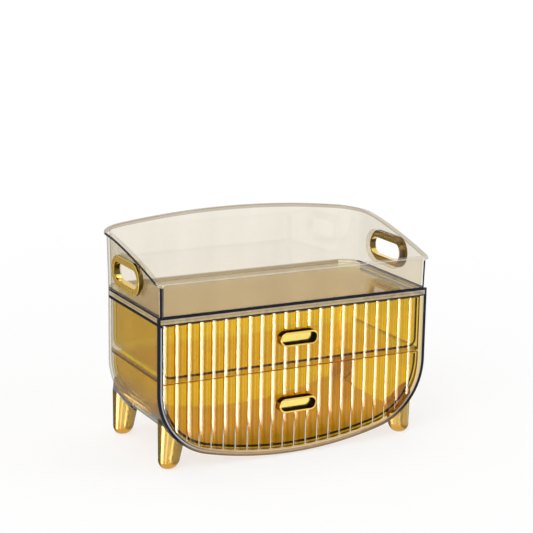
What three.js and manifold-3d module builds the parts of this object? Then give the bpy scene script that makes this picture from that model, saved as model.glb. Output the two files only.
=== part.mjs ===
// Vanity organizer: a clear U-shaped housing on four gold legs holds two amber fluted drawers
// and carries an open tray with two gold-ringed hand holes.
// Millimetres. X runs across the width, the front faces -Y, +Z is up, the legs stand on Z = 0.

import * as THREE from 'three';
import { mergeVertices } from 'three/addons/utils/BufferGeometryUtils.js';
import Module from 'manifold-3d';

const wasm = await Module();
wasm.setup();

// Body form
const BODY_WIDTH = 270;
const BODY_DEPTH = 132.6;
const SEAM_HEIGHT = 140.6;
const BELLY_CLEARANCE = 1.6;
const BELLY_RADIUS = 356;
const CORNER_RADIUS = 62;
const LIP_PROUD = 2;
const LIP_DEPTH = 3.2;
const REAR_RADIUS = 20;
const EDGE_BREAK = 0.6;

// Fits shared by every piece
const SEAT_GAP = 0.3;
const SLIDE_GAP = 0.6;
const CUT_OVERRUN = 5;

// Housing
const SHELL_WALL = 2.4;
const BAND_HEIGHT = 7.1;
const DECK_THICKNESS = 3;
const SEAT_RIM_WALL = 2.6;

// Shelf between the drawers and the groove that holds it
const SHELF_HEIGHT = 83.3;
const SHELF_THICKNESS = 3;
const LEDGE_WIDTH = 4;
const LEDGE_HEIGHT = 2.2;
const KEEPER_WIDTH = 2.2;
const KEEPER_HEIGHT = 1.5;

// Drawers
const FRONT_RECESS = 3.6;
const FRONT_THICKNESS = 2.5;
const FRONT_GAP = 1.2;
const FLUTE_COUNT = 22;
const FLUTE_RISE = 1.3;
const TUB_INSET = 6.4;
const TUB_WALL = 2.2;
const TUB_HEADROOM = 3;
const UPPER_TUB_RADIUS = 8;
const RUNNER_WIDTH = 8;
const RUNNER_SPACING = 124;

// Pulls
const PULL_LENGTH = 38;
const PULL_HEIGHT = 13.2;
const PULL_PROUD = 8;
const PULL_WALL = 1.7;
const PULL_FLOOR = 1.8;
const PULL_EDGE_ROUND = 0.6;
const UPPER_PULL_LIFT = 2;
const LOWER_PULL_LIFT = 4.55;
const PULL_STEM_SPACING = 22;
const PULL_STEM_RADIUS = 2.4;
const PULL_SCREW_RADIUS = 1.1;
const PULL_SCREW_LENGTH = 3.4;
const PULL_SCREW_HEAD_RADIUS = 3.4;
const PULL_SCREW_HEAD_HEIGHT = 1.4;

// Tray
const TRAY_WALL = 2.6;
const TRAY_FLOOR = 2.6;
const TRAY_FRONT_STEP = 0.6;
const TRAY_FRONT_RADIUS = 3;
const TRAY_DRAFT = 1.5;
const RIM_FRONT_RISE = 29.6;
const RIM_REAR_RISE = 52.6;
const RIM_ARCH = 10.4;
const BEAD_OUT = 2.4;
const BEAD_HEIGHT = 2.6;
const BEAD_ROUND = 0.5;
const RIM_RISE_POWER = 1.4;

// Hand holes and their rings
const GRIP_LENGTH = 62;
const GRIP_HEIGHT = 29.6;
const GRIP_BAND = 5;
const GRIP_PROUD = 3.6;
const GRIP_EDGE_ROUND = 0.8;
const GRIP_SLEEVE_WALL = 1.5;
const GRIP_SLEEVE_REACH = 2.6;
const GRIP_SETBACK = 2.5;
const GRIP_RISE = 23;
const RETAINER_BAND = 4;
const RETAINER_THICKNESS = 2;

// Legs
const LEG_END_SETBACK = 14.8;
const LEG_SIDE_SETBACK = 7.2;
const LEG_ROOT_RADIUS = 11.4;
const LEG_TIP_RADIUS = 8.6;
const LEG_TAPER_LENGTH = 24;
const LEG_LENGTH = 56;
const LEG_TIP_ROUND = 7;
const LEG_TIP_BLUNT_RADIUS = 2.8;
const PAD_THICKNESS = 1.8;
const PAD_FLANGE = 0.7;
const PAD_TAPER_HEIGHT = 36;
const LEG_SCREW_FROM_SIDE = 21;
const LEG_SCREW_SETBACK = 8;
const LEG_SCREW_RADIUS = 1.5;
const LEG_SCREW_LENGTH = 11;
const LEG_SCREW_HEAD_RADIUS = 3.2;
const LEG_SCREW_HEAD_HEIGHT = 1.2;

// Facet counts
const CORNER_STEPS = 10;
const BELLY_STEPS = 9;
const REAR_STEPS = 5;
const FLUTE_STEPS = 4;
const ROUND_STEPS = 20;
const STADIUM_STEPS = 9;
const LEG_STEPS = 24;
const TIP_STEPS = 4;
const BEVEL_STEPS = 2;
const SIDE_STEPS = 7;
const REAR_WALL_STEPS = 8;
const FRONT_CORNER_STEPS = 2;
const STRAIGHT = 1;

// Heights and depths that follow
const halfWidth = BODY_WIDTH / 2;
const halfDepth = BODY_DEPTH / 2;
const skinInset = LIP_PROUD;
const bayInset = skinInset + SHELL_WALL;
const bayTop = SEAM_HEIGHT - BAND_HEIGHT;
const deckTop = bayTop + DECK_THICKNESS;
const shelfBottom = SHELF_HEIGHT - SHELF_THICKNESS;
const ledgeTop = shelfBottom - SEAT_GAP;
const ledgeBottom = ledgeTop - LEDGE_HEIGHT;
const keeperBottom = SHELF_HEIGHT + SEAT_GAP;
const frontFace = -halfDepth + FRONT_RECESS;
const frontBack = frontFace + FRONT_THICKNESS;
const innerDepthStart = frontBack + SEAT_GAP;
const upperTubBottom = SHELF_HEIGHT + SEAT_GAP;
const upperTubTop = bayTop - TUB_HEADROOM;
const lowerTubTop = ledgeBottom - SLIDE_GAP;
const pullFace = frontFace - PULL_PROUD;
const frontInset = bayInset + SLIDE_GAP;
const upperFrontBottom = shelfBottom + FRONT_GAP / 2;
const upperFrontTop = bayTop - SLIDE_GAP;
const lowerFrontBottom = BELLY_CLEARANCE + frontInset;
const lowerFrontTop = shelfBottom - FRONT_GAP / 2;
const upperPullHeight = (upperFrontBottom + upperFrontTop) / 2 + UPPER_PULL_LIFT;
const lowerPullHeight = (lowerFrontBottom + lowerFrontTop) / 2 + LOWER_PULL_LIFT;
const rimFrontHeight = SEAM_HEIGHT + RIM_FRONT_RISE;
const rimRearHeight = SEAM_HEIGHT + RIM_REAR_RISE;
const gripHeight = SEAM_HEIGHT + GRIP_RISE;
const draftSlope = Math.tan(THREE.MathUtils.degToRad(TRAY_DRAFT));

// Materials
const clearPlastic = plastic(0xe6dcc8, 0.35);
const padPlastic = plastic(0xcfc8bc, 0.6);
const amberPlastic = plastic(0xe2a21a, 0.55);
const goldPlate = metal(0xd8a53a, 0.18);
const steel = metal(0xb9b9b6, 0.3);

function metal(color, roughness) {
  return new THREE.MeshStandardMaterial({ color, roughness, metalness: 1, flatShading: true });
}

function plastic(color, opacity) {
  return new THREE.MeshStandardMaterial({
    color, opacity, transparent: true, roughness: 0.08, metalness: 0, flatShading: true,
  });
}

// Turns a closed three.js geometry into a solid that can be cut and joined.
function solidOf(geometry) {
  const bare = geometry.clone();
  bare.deleteAttribute('normal');
  bare.deleteAttribute('uv');
  const merged = mergeVertices(bare);
  return new wasm.Manifold(new wasm.Mesh({
    numProp: 3,
    vertProperties: merged.attributes.position.array,
    triVerts: Uint32Array.from(merged.index.array),
  }));
}

// Turns a solid back into a named mesh.
function meshOf(name, solid, material) {
  const { vertProperties, triVerts } = solid.getMesh();
  const geometry = new THREE.BufferGeometry();
  geometry.setAttribute('position', new THREE.BufferAttribute(vertProperties, 3));
  geometry.setIndex(new THREE.BufferAttribute(triVerts, 1));
  const mesh = new THREE.Mesh(geometry, material);
  mesh.name = name;
  return mesh;
}

// Skins a closed body over rings of equal point counts and caps both ends.
// flat(point) gives the two coordinates in which an end ring is triangulated.
function loft(rings, flat) {
  const count = rings[0].length;
  const corners = [];
  for (let r = 0; r + 1 < rings.length; r++) {
    for (let i = 0; i < count; i++) {
      const j = (i + 1) % count;
      corners.push(rings[r][i], rings[r][j], rings[r + 1][j]);
      corners.push(rings[r][i], rings[r + 1][j], rings[r + 1][i]);
    }
  }
  const last = rings[rings.length - 1];
  for (const [a, b, c] of THREE.ShapeUtils.triangulateShape(rings[0].map(flat), [])) {
    corners.push(rings[0][c], rings[0][b], rings[0][a]);
  }
  for (const [a, b, c] of THREE.ShapeUtils.triangulateShape(last.map(flat), [])) {
    corners.push(last[a], last[b], last[c]);
  }
  return new THREE.BufferGeometry().setFromPoints(facingOut(corners));
}

// Reverses every triangle where the body they enclose has a negative volume.
function facingOut(corners) {
  let volume = 0;
  for (let i = 0; i < corners.length; i += 3) {
    volume += new THREE.Vector3().crossVectors(corners[i], corners[i + 1]).dot(corners[i + 2]);
  }
  if (volume > 0) return corners;
  const turned = [];
  for (let i = 0; i < corners.length; i += 3) turned.push(corners[i], corners[i + 2], corners[i + 1]);
  return turned;
}

const inFrontView = (point) => new THREE.Vector2(point.x, point.z);
const inPlan = (point) => new THREE.Vector2(point.x, point.y);

function box(x0, x1, y0, y1, z0, z1) {
  const geometry = new THREE.BoxGeometry(x1 - x0, y1 - y0, z1 - z0);
  geometry.translate((x0 + x1) / 2, (y0 + y1) / 2, (z0 + z1) / 2);
  return solidOf(geometry);
}

// A front-view outline pushed from depth y0 to depth y1.
function pushedBack(outline, y0, y1) {
  const geometry = new THREE.ExtrudeGeometry(new THREE.Shape(outline), {
    depth: y1 - y0, bevelEnabled: false,
  });
  geometry.rotateX(Math.PI / 2);
  geometry.translate(0, y1, 0);
  return geometry;
}

// A plan shape raised from height z0 to height z1.
function raised(shape, z0, z1, steps) {
  const geometry = new THREE.ExtrudeGeometry(shape, {
    depth: z1 - z0, bevelEnabled: false, curveSegments: steps,
  });
  geometry.translate(0, 0, z0);
  return geometry;
}

// Points along an arc, both ends included.
function arcPoints(x, y, radius, from, to, steps) {
  const points = [];
  for (let i = 0; i <= steps; i++) {
    const turn = from + (to - from) * (i / steps);
    points.push(new THREE.Vector2(x + radius * Math.cos(turn), y + radius * Math.sin(turn)));
  }
  return points;
}

// Centres of the body's corner and belly arcs in the front view, and the angle where they meet.
const cornerX = halfWidth - CORNER_RADIUS;
const bellyZ = BELLY_CLEARANCE + BELLY_RADIUS;
const cornerZ = bellyZ - Math.sqrt((BELLY_RADIUS - CORNER_RADIUS) ** 2 - cornerX ** 2);
const tangent = Math.atan2(bellyZ - cornerZ, cornerX);

// The U of the body seen from the front, moved inwards by inset: straight sides, two corner
// arcs and one shallow belly arc that meets them at a tangent.
function bodySection(inset, top) {
  const corner = CORNER_RADIUS - inset;
  const belly = BELLY_RADIUS - inset;
  return [
    new THREE.Vector2(-halfWidth + inset, top),
    ...arcPoints(-cornerX, cornerZ, corner, Math.PI, Math.PI + tangent, CORNER_STEPS),
    ...arcPoints(0, bellyZ, belly, Math.PI + tangent, 2 * Math.PI - tangent, BELLY_STEPS).slice(1, -1),
    ...arcPoints(cornerX, cornerZ, corner, -tangent, 0, CORNER_STEPS),
    new THREE.Vector2(halfWidth - inset, top),
  ];
}

// Rings of a body pushed from depth front backwards, its section drawn in round the rear edge.
// Insets count from the lip's outline, so the rear edge is rounded by its own radius at the skin.
function roundedBack(section, inset, front) {
  const stations = [[front, inset]];
  const within = inset - skinInset;
  const radius = REAR_RADIUS - within;
  for (let i = 0; i <= REAR_STEPS; i++) {
    const turn = (Math.PI / 2) * (i / REAR_STEPS);
    const y = halfDepth - REAR_RADIUS + radius * Math.sin(turn);
    stations.push([y, inset + radius * (1 - Math.cos(turn))]);
  }
  return stations.map(([y, shrink]) => section(shrink).map((p) => new THREE.Vector3(p.x, y, p.y)));
}

// The body's form moved inwards by inset, from depth front to its rounded rear, cut level at top.
function bodyForm(inset, front, top) {
  const section = (shrink) => bodySection(shrink, SEAM_HEIGHT + CUT_OVERRUN);
  return cutLevel(solidOf(loft(roundedBack(section, inset, front), inFrontView)), top);
}

// Keeps what lies below a height.
function cutLevel(solid, height) {
  return solid.trimByPlane([0, 0, -1], -height);
}

// Plan outline of the body's top with rounded corners, as points that know their outward direction.
function planOutline(inset) {
  const within = inset - skinInset;
  const frontRadius = TRAY_FRONT_RADIUS - within;
  const side = halfWidth - inset;
  const front = -halfDepth + TRAY_FRONT_STEP + within;
  const rear = halfDepth - within;
  const rearRadius = REAR_RADIUS - within;
  const points = [];
  const arc = (x, y, radius, from, steps) => {
    for (let i = 0; i <= steps; i++) {
      const turn = from + (Math.PI / 2) * (i / steps);
      const out = new THREE.Vector2(Math.cos(turn), Math.sin(turn));
      points.push({ x: x + radius * out.x, y: y + radius * out.y, out });
    }
  };
  const run = (x0, y0, x1, y1, outX, outY, steps) => {
    for (let i = 1; i < steps; i++) {
      const t = i / steps;
      points.push({ x: x0 + (x1 - x0) * t, y: y0 + (y1 - y0) * t, out: new THREE.Vector2(outX, outY) });
    }
  };
  arc(side - frontRadius, front + frontRadius, frontRadius, -Math.PI / 2, FRONT_CORNER_STEPS);
  run(side, front + frontRadius, side, rear - rearRadius, 1, 0, SIDE_STEPS);
  arc(side - rearRadius, rear - rearRadius, rearRadius, 0, REAR_STEPS);
  run(side - rearRadius, rear, -side + rearRadius, rear, 0, 1, REAR_WALL_STEPS);
  arc(-side + rearRadius, rear - rearRadius, rearRadius, Math.PI / 2, REAR_STEPS);
  run(-side, rear - rearRadius, -side, front + frontRadius, -1, 0, SIDE_STEPS);
  arc(-side + frontRadius, front + frontRadius, frontRadius, Math.PI, FRONT_CORNER_STEPS);
  return points;
}

function planShape(inset) {
  return new THREE.Shape(planOutline(inset).map((p) => new THREE.Vector2(p.x, p.y)));
}

// A stadium of given length and height centred on a point of its plane.
function stadium(length, height, x, y) {
  const radius = height / 2;
  const reach = length / 2 - radius;
  const shape = new THREE.Shape();
  shape.moveTo(x - reach, y - radius);
  shape.lineTo(x + reach, y - radius);
  shape.absarc(x + reach, y, radius, -Math.PI / 2, Math.PI / 2, false);
  shape.lineTo(x - reach, y + radius);
  shape.absarc(x - reach, y, radius, Math.PI / 2, 1.5 * Math.PI, false);
  return shape;
}

// A stadium plate with rounded edges on its far face only, lying in XY from height 0 to depth.
function roundedPlate(length, height, depth, round) {
  const geometry = new THREE.ExtrudeGeometry(stadium(length - 2 * round, height - 2 * round, 0, 0), {
    depth: depth - round, bevelEnabled: true, bevelThickness: round, bevelSize: round,
    bevelSegments: BEVEL_STEPS, curveSegments: STADIUM_STEPS,
  });
  const plate = solidOf(geometry);
  return plate.subtract(box(-length, length, -length, length, -depth, 0));
}

function stadiumPrism(length, height, from, to) {
  return solidOf(raised(stadium(length, height, 0, 0), from, to, STADIUM_STEPS));
}

function rod(radius, from, to) {
  const geometry = new THREE.CylinderGeometry(radius, radius, to - from, ROUND_STEPS);
  geometry.rotateX(Math.PI / 2);
  geometry.translate(0, 0, (from + to) / 2);
  return solidOf(geometry);
}

// A pan-head screw on the Z axis: the head sits above Z = 0 and the shank hangs below it.
function panScrew(shankRadius, length, headRadius, headHeight) {
  const profile = [
    new THREE.Vector2(0, -length),
    new THREE.Vector2(shankRadius / 2, -length),
    new THREE.Vector2(shankRadius, -length + shankRadius),
    new THREE.Vector2(shankRadius, 0),
    new THREE.Vector2(headRadius, 0),
    new THREE.Vector2(headRadius, headHeight / 2),
    new THREE.Vector2(headRadius / 2, headHeight),
    new THREE.Vector2(0, headHeight),
  ];
  const geometry = new THREE.LatheGeometry(profile, ROUND_STEPS);
  geometry.rotateX(Math.PI / 2);
  return solidOf(geometry);
}

// Moves a solid into place by a three.js matrix.
function placed(solid, matrix) {
  return solid.transform(matrix.elements);
}

// Housing: shell with open front, deck with a rimmed seat for the tray, and the shelf's grooves
function makeHousing() {
  const outline = (inset) => bodySection(inset, SEAM_HEIGHT);
  const lipBack = -halfDepth + LIP_DEPTH;
  const lip = [
    [EDGE_BREAK, -halfDepth],
    [0, -halfDepth + EDGE_BREAK],
    [0, lipBack - EDGE_BREAK],
    [EDGE_BREAK, lipBack],
  ].map(([inset, y]) => outline(inset).map((p) => new THREE.Vector3(p.x, y, p.y)));
  const skin = roundedBack(outline, skinInset, lipBack);
  let housing = solidOf(loft([...lip, ...skin], inFrontView));
  housing = housing.subtract(bodyForm(bayInset, -halfDepth - CUT_OVERRUN, bayTop));
  const seat = raised(planShape(skinInset + SEAT_RIM_WALL), deckTop, SEAM_HEIGHT + CUT_OVERRUN, STRAIGHT);
  housing = housing.subtract(solidOf(seat));
  const bay = bodyForm(bayInset - SHELL_WALL / 2, innerDepthStart, bayTop);
  const open = halfWidth - bayInset;
  const grooveSides = [
    [LEDGE_WIDTH, ledgeBottom, LEDGE_HEIGHT],
    [KEEPER_WIDTH, keeperBottom, KEEPER_HEIGHT],
  ];
  for (const [width, bottom, height] of grooveSides) {
    const ribs = box(-halfWidth, halfWidth, innerDepthStart, halfDepth, bottom, bottom + height);
    const between = box(-open + width, open - width, -BODY_DEPTH, BODY_DEPTH, 0, SEAM_HEIGHT);
    housing = housing.add(ribs.subtract(between).intersect(bay));
  }
  for (const corner of legCorners()) housing = housing.subtract(corner.screwHole);
  return housing;
}

function makeShelf() {
  const filled = bodyForm(bayInset + SEAT_GAP, innerDepthStart, SHELF_HEIGHT);
  return filled.subtract(cutLevel(filled, shelfBottom));
}

// The face of a drawer front in plan: a flat back and a row of convex flutes.
function flutedProfile(width) {
  const half = width / 2;
  const pitch = width / FLUTE_COUNT;
  const shape = new THREE.Shape();
  shape.moveTo(half, frontBack);
  shape.lineTo(-half, frontBack);
  shape.lineTo(-half, frontFace);
  for (let flute = 0; flute < FLUTE_COUNT; flute++) {
    for (let step = 1; step <= FLUTE_STEPS; step++) {
      const t = step / FLUTE_STEPS;
      const rise = FLUTE_RISE * (1 - (2 * t - 1) ** 2);
      shape.lineTo(-half + pitch * (flute + t), frontFace - rise);
    }
  }
  return shape;
}

// A drawer's fluted face, cut to an outline in the front view.
function makeFront(outline, bottom, top) {
  const width = BODY_WIDTH - 2 * frontInset;
  const fluted = solidOf(raised(flutedProfile(width), bottom, top, STRAIGHT));
  return fluted.intersect(solidOf(pushedBack(outline, -halfDepth, halfDepth)));
}

// Levels the flutes where the pull sits and bores the two stem holes.
function seatPull(drawer, height) {
  const seat = stadiumPrism(PULL_LENGTH + 2 * SEAT_GAP, PULL_HEIGHT + 2 * SEAT_GAP, 0, CUT_OVERRUN);
  let seated = drawer.subtract(placed(seat, onFront(height)));
  for (const sign of [-1, 1]) {
    const hole = rod(PULL_STEM_RADIUS + SEAT_GAP, -CUT_OVERRUN, CUT_OVERRUN);
    seated = seated.subtract(placed(hole.translate([sign * PULL_STEM_SPACING / 2, 0, 0]), onFront(height)));
  }
  return seated;
}

// Stands a piece drawn in XY on the drawer front, its +Z towards the user.
function onFront(height) {
  const turn = new THREE.Matrix4().makeRotationX(Math.PI / 2);
  return new THREE.Matrix4().makeTranslation(0, frontFace, height).multiply(turn);
}

function makeLowerDrawer() {
  const front = makeFront(bodySection(frontInset, SEAM_HEIGHT), 0, lowerFrontTop);
  const start = frontBack - FRONT_THICKNESS / 2;
  let tub = bodyForm(TUB_INSET, start, lowerTubTop);
  const runners = bodyForm(bayInset + SEAT_GAP, start, lowerTubTop);
  for (const sign of [-1, 1]) {
    const x = sign * RUNNER_SPACING / 2;
    const rear = halfDepth - REAR_RADIUS;
    const rib = box(x - RUNNER_WIDTH / 2, x + RUNNER_WIDTH / 2, start, rear, 0, lowerTubTop / 2);
    tub = tub.add(runners.intersect(rib));
  }
  tub = tub.subtract(bodyForm(TUB_INSET + TUB_WALL, frontBack, lowerTubTop + CUT_OVERRUN));
  return seatPull(front.add(tub), lowerPullHeight);
}

// The upper tub's front view: a box with rounded lower corners.
function upperTubSection(shrink, top) {
  const inward = shrink - TUB_INSET;
  const side = halfWidth - shrink;
  const radius = Math.max(UPPER_TUB_RADIUS - inward, TUB_WALL);
  const bottom = upperTubBottom + Math.max(Math.min(inward, TUB_WALL), 0);
  const points = [new THREE.Vector2(-side, top)];
  for (const [sign, from] of [[-1, Math.PI], [1, 1.5 * Math.PI]]) {
    for (let i = 0; i <= REAR_STEPS; i++) {
      const turn = from + (Math.PI / 2) * (i / REAR_STEPS);
      points.push(new THREE.Vector2(
        sign * (side - radius) + radius * Math.cos(turn),
        bottom + radius + radius * Math.sin(turn),
      ));
    }
  }
  points.push(new THREE.Vector2(side, top));
  return points;
}

function upperTubForm(inset, front, top) {
  const section = (shrink) => {
    const points = upperTubSection(inset, top);
    const scale = (halfWidth - shrink) / (halfWidth - inset);
    return points.map((p) => new THREE.Vector2(p.x * scale, p.y));
  };
  return solidOf(loft(roundedBack(section, inset, front), inFrontView));
}

function makeUpperDrawer() {
  const front = makeFront(bodySection(frontInset, SEAM_HEIGHT), upperFrontBottom, upperFrontTop);
  const start = frontBack - FRONT_THICKNESS / 2;
  const tub = upperTubForm(TUB_INSET, start, upperTubTop);
  const hollow = upperTubForm(TUB_INSET + TUB_WALL, frontBack, upperTubTop + CUT_OVERRUN);
  return seatPull(front.add(tub.subtract(hollow)), upperPullHeight);
}

// Pull: a capsule cup that stands off the drawer front, with two stems that pass through it
function makePull(height) {
  let pull = roundedPlate(PULL_LENGTH, PULL_HEIGHT, PULL_PROUD - SEAT_GAP, PULL_EDGE_ROUND);
  pull = pull.translate([0, 0, SEAT_GAP]);
  const cupLength = PULL_LENGTH - 2 * PULL_WALL;
  const cupHeight = PULL_HEIGHT - 2 * PULL_WALL;
  const cupFloor = SEAT_GAP + PULL_FLOOR;
  const boreTop = PULL_SCREW_LENGTH + SEAT_GAP - FRONT_THICKNESS;
  pull = pull.subtract(stadiumPrism(cupLength, cupHeight, cupFloor, PULL_PROUD + CUT_OVERRUN));
  for (const sign of [-1, 1]) {
    const x = sign * PULL_STEM_SPACING / 2;
    const stem = rod(PULL_STEM_RADIUS, -FRONT_THICKNESS, cupFloor - PULL_FLOOR / 2);
    const bore = rod(PULL_SCREW_RADIUS + SEAT_GAP, -FRONT_THICKNESS - CUT_OVERRUN, boreTop);
    pull = pull.add(stem.translate([x, 0, 0])).subtract(bore.translate([x, 0, 0]));
  }
  return placed(pull, onFront(height));
}

function makePullScrew(height, sign) {
  const screw = panScrew(
    PULL_SCREW_RADIUS, PULL_SCREW_LENGTH, PULL_SCREW_HEAD_RADIUS, PULL_SCREW_HEAD_HEIGHT,
  );
  const flip = new THREE.Matrix4().makeRotationX(Math.PI);
  const x = sign * PULL_STEM_SPACING / 2;
  const seat = new THREE.Matrix4().makeTranslation(x, 0, -FRONT_THICKNESS - SEAT_GAP);
  return placed(screw, onFront(height).multiply(seat).multiply(flip));
}

// Height of the tray's rim above a plan point: level in front, rising along the sides, arched behind.
function rimHeight(point) {
  const front = -halfDepth + TRAY_FRONT_STEP;
  const run = BODY_DEPTH - TRAY_FRONT_STEP - REAR_RADIUS;
  const along = THREE.MathUtils.clamp((point.y - front) / run, 0, 1);
  const rise = 1 - (1 - along) ** RIM_RISE_POWER;
  const across = point.x / (halfWidth - skinInset);
  const arch = RIM_ARCH * (1 - across ** 2) * along;
  return rimFrontHeight + (rimRearHeight - rimFrontHeight) * rise + arch;
}

// Tray: a plug that sits in the housing's rim, drafted walls and a beaded rim, skinned as one shell
function makeTray() {
  const plan = planOutline(skinInset);
  const seamTop = SEAM_HEIGHT + SEAT_GAP;
  const floorTop = deckTop + SEAT_GAP + TRAY_FLOOR;
  const plugInset = SEAT_RIM_WALL + SEAT_GAP;
  const ring = (offset, height) => plan.map((p) => {
    const z = height(p);
    const out = offset + draftSlope * Math.max(z - seamTop, 0);
    return new THREE.Vector3(p.x + p.out.x * out, p.y + p.out.y * out, z);
  });
  const level = (z) => () => z;
  const below = (drop) => (p) => rimHeight(p) - drop;
  const rings = [
    ring(-plugInset, level(deckTop + SEAT_GAP)),
    ring(-plugInset, level(seamTop)),
    ring(0, level(seamTop)),
    ring(0, below(BEAD_HEIGHT)),
    ring(BEAD_OUT, below(BEAD_HEIGHT - BEAD_ROUND)),
    ring(BEAD_OUT, below(BEAD_ROUND)),
    ring(BEAD_OUT - BEAD_ROUND, below(0)),
    ring(-TRAY_WALL + BEAD_ROUND, below(0)),
    ring(-TRAY_WALL, below(BEAD_ROUND)),
    ring(-TRAY_WALL, level(floorTop)),
  ];
  let tray = solidOf(loft(rings, inPlan));
  for (const sign of [-1, 1]) {
    const clear = 2 * SEAT_GAP;
    const length = GRIP_LENGTH - 2 * GRIP_BAND + 2 * GRIP_SLEEVE_WALL + clear;
    const height = GRIP_HEIGHT - 2 * GRIP_BAND + 2 * GRIP_SLEEVE_WALL + clear;
    const hole = stadiumPrism(length, height, -TRAY_WALL - CUT_OVERRUN, CUT_OVERRUN);
    tray = tray.subtract(placed(hole, onGrip(sign)));
  }
  return tray;
}

// Lays a piece drawn in XY on the tray's side wall, its +Z pointing out of the wall.
function onGrip(sign) {
  const drafted = draftSlope * (gripHeight - SEAM_HEIGHT - SEAT_GAP);
  const x = sign * (halfWidth - skinInset + drafted);
  const tilt = Math.PI / 2 + THREE.MathUtils.degToRad(TRAY_DRAFT);
  const out = new THREE.Matrix4().makeRotationY(sign * tilt);
  const lengthwise = new THREE.Matrix4().makeRotationZ(Math.PI / 2);
  return new THREE.Matrix4().makeTranslation(x, GRIP_SETBACK, gripHeight)
    .multiply(out)
    .multiply(lengthwise);
}

function makeGripRing(sign) {
  const holeLength = GRIP_LENGTH - 2 * GRIP_BAND;
  const holeHeight = GRIP_HEIGHT - 2 * GRIP_BAND;
  const sleeveLength = holeLength + 2 * GRIP_SLEEVE_WALL;
  const sleeveHeight = holeHeight + 2 * GRIP_SLEEVE_WALL;
  const reach = -TRAY_WALL - GRIP_SLEEVE_REACH;
  const flange = roundedPlate(GRIP_LENGTH, GRIP_HEIGHT, GRIP_PROUD, GRIP_EDGE_ROUND);
  const sleeve = stadiumPrism(sleeveLength, sleeveHeight, reach, GRIP_PROUD / 2);
  const hole = stadiumPrism(holeLength, holeHeight, reach - CUT_OVERRUN, GRIP_PROUD + CUT_OVERRUN);
  return placed(flange.translate([0, 0, SEAT_GAP]).add(sleeve).subtract(hole), onGrip(sign));
}

function makeGripRetainer(sign) {
  const boreLength = GRIP_LENGTH - 2 * GRIP_BAND + 2 * GRIP_SLEEVE_WALL + 2 * SEAT_GAP;
  const boreHeight = GRIP_HEIGHT - 2 * GRIP_BAND + 2 * GRIP_SLEEVE_WALL + 2 * SEAT_GAP;
  const near = -TRAY_WALL - SEAT_GAP;
  const far = near - RETAINER_THICKNESS;
  const plate = stadiumPrism(boreLength + 2 * RETAINER_BAND, boreHeight + 2 * RETAINER_BAND, far, near);
  const bore = stadiumPrism(boreLength, boreHeight, far - CUT_OVERRUN, CUT_OVERRUN);
  return placed(plate.subtract(bore), onGrip(sign));
}

// Leg: a tapered peg with a rounded tip. It widens up to taperTop and runs straight above that.
function legPeg(grow, taperTop) {
  const widening = (LEG_ROOT_RADIUS - LEG_TIP_RADIUS) / LEG_TAPER_LENGTH;
  const radius = LEG_TIP_RADIUS + widening * taperTop + grow;
  const spread = LEG_TIP_RADIUS - LEG_TIP_BLUNT_RADIUS;
  const profile = [new THREE.Vector2(0, 0), new THREE.Vector2(LEG_TIP_BLUNT_RADIUS, 0)];
  for (let i = 1; i <= TIP_STEPS; i++) {
    const turn = (Math.PI / 2) * (i / TIP_STEPS);
    const r = LEG_TIP_BLUNT_RADIUS + spread * Math.sin(turn);
    profile.push(new THREE.Vector2(r, LEG_TIP_ROUND * (1 - Math.cos(turn))));
  }
  profile.push(new THREE.Vector2(radius, taperTop));
  if (taperTop < LEG_LENGTH) profile.push(new THREE.Vector2(radius, LEG_LENGTH));
  profile.push(new THREE.Vector2(0, LEG_LENGTH));
  const geometry = new THREE.LatheGeometry(profile, LEG_STEPS);
  geometry.rotateX(Math.PI / 2);
  return solidOf(geometry);
}

// Places, tools and frames of the four leg corners.
function legCorners() {
  const corners = [];
  for (const [end, sy] of [['front', -1], ['rear', 1]]) {
    for (const [side, sx] of [['left', -1], ['right', 1]]) corners.push(legCorner(`${end}_${side}`, sx, sy));
  }
  return corners;
}

function legCorner(label, sx, sy) {
  const lean = (LEG_ROOT_RADIUS - LEG_TIP_RADIUS) / LEG_TAPER_LENGTH;
  const tilt = Math.asin((CORNER_RADIUS - LEG_SCREW_FROM_SIDE) / CORNER_RADIUS);
  const y = sy * (halfDepth - LEG_END_SETBACK);
  const headRadius = CORNER_RADIUS - bayInset - SEAT_GAP;
  const screwFrame = new THREE.Matrix4().makeTranslation(
    sx * (cornerX + headRadius * Math.sin(tilt)),
    y - sy * LEG_SCREW_SETBACK,
    cornerZ - headRadius * Math.cos(tilt),
  ).multiply(new THREE.Matrix4().makeRotationY(-sx * tilt));
  const foot = new THREE.Matrix4().makeTranslation(sx * (halfWidth - LEG_SIDE_SETBACK - LEG_TIP_RADIUS), y, 0);
  const bore = rod(LEG_SCREW_RADIUS + SEAT_GAP, -LEG_SCREW_LENGTH - SEAT_GAP, CUT_OVERRUN);
  return {
    label,
    legFrame: foot.multiply(shearX(-sx * lean)),
    screwFrame,
    screwHole: placed(bore, screwFrame),
  };
}

// Leans a piece sideways as it rises, its feet staying level.
function shearX(slope) {
  return new THREE.Matrix4().set(1, 0, slope, 0, 0, 1, 0, 0, 0, 0, 1, 0, 0, 0, 0, 1);
}

// What lies above the U outline at inset, as if the body ran on without its round rear.
function aboveOutline(inset, rear) {
  return solidOf(pushedBack(bodySection(inset, SEAM_HEIGHT), -BODY_DEPTH, rear));
}

function makeLeg(corner) {
  const peg = placed(legPeg(0, LEG_LENGTH), corner.legFrame);
  const clear = aboveOutline(skinInset - PAD_THICKNESS - 2 * SEAT_GAP, BODY_DEPTH);
  return peg.subtract(clear).subtract(corner.screwHole);
}

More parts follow.
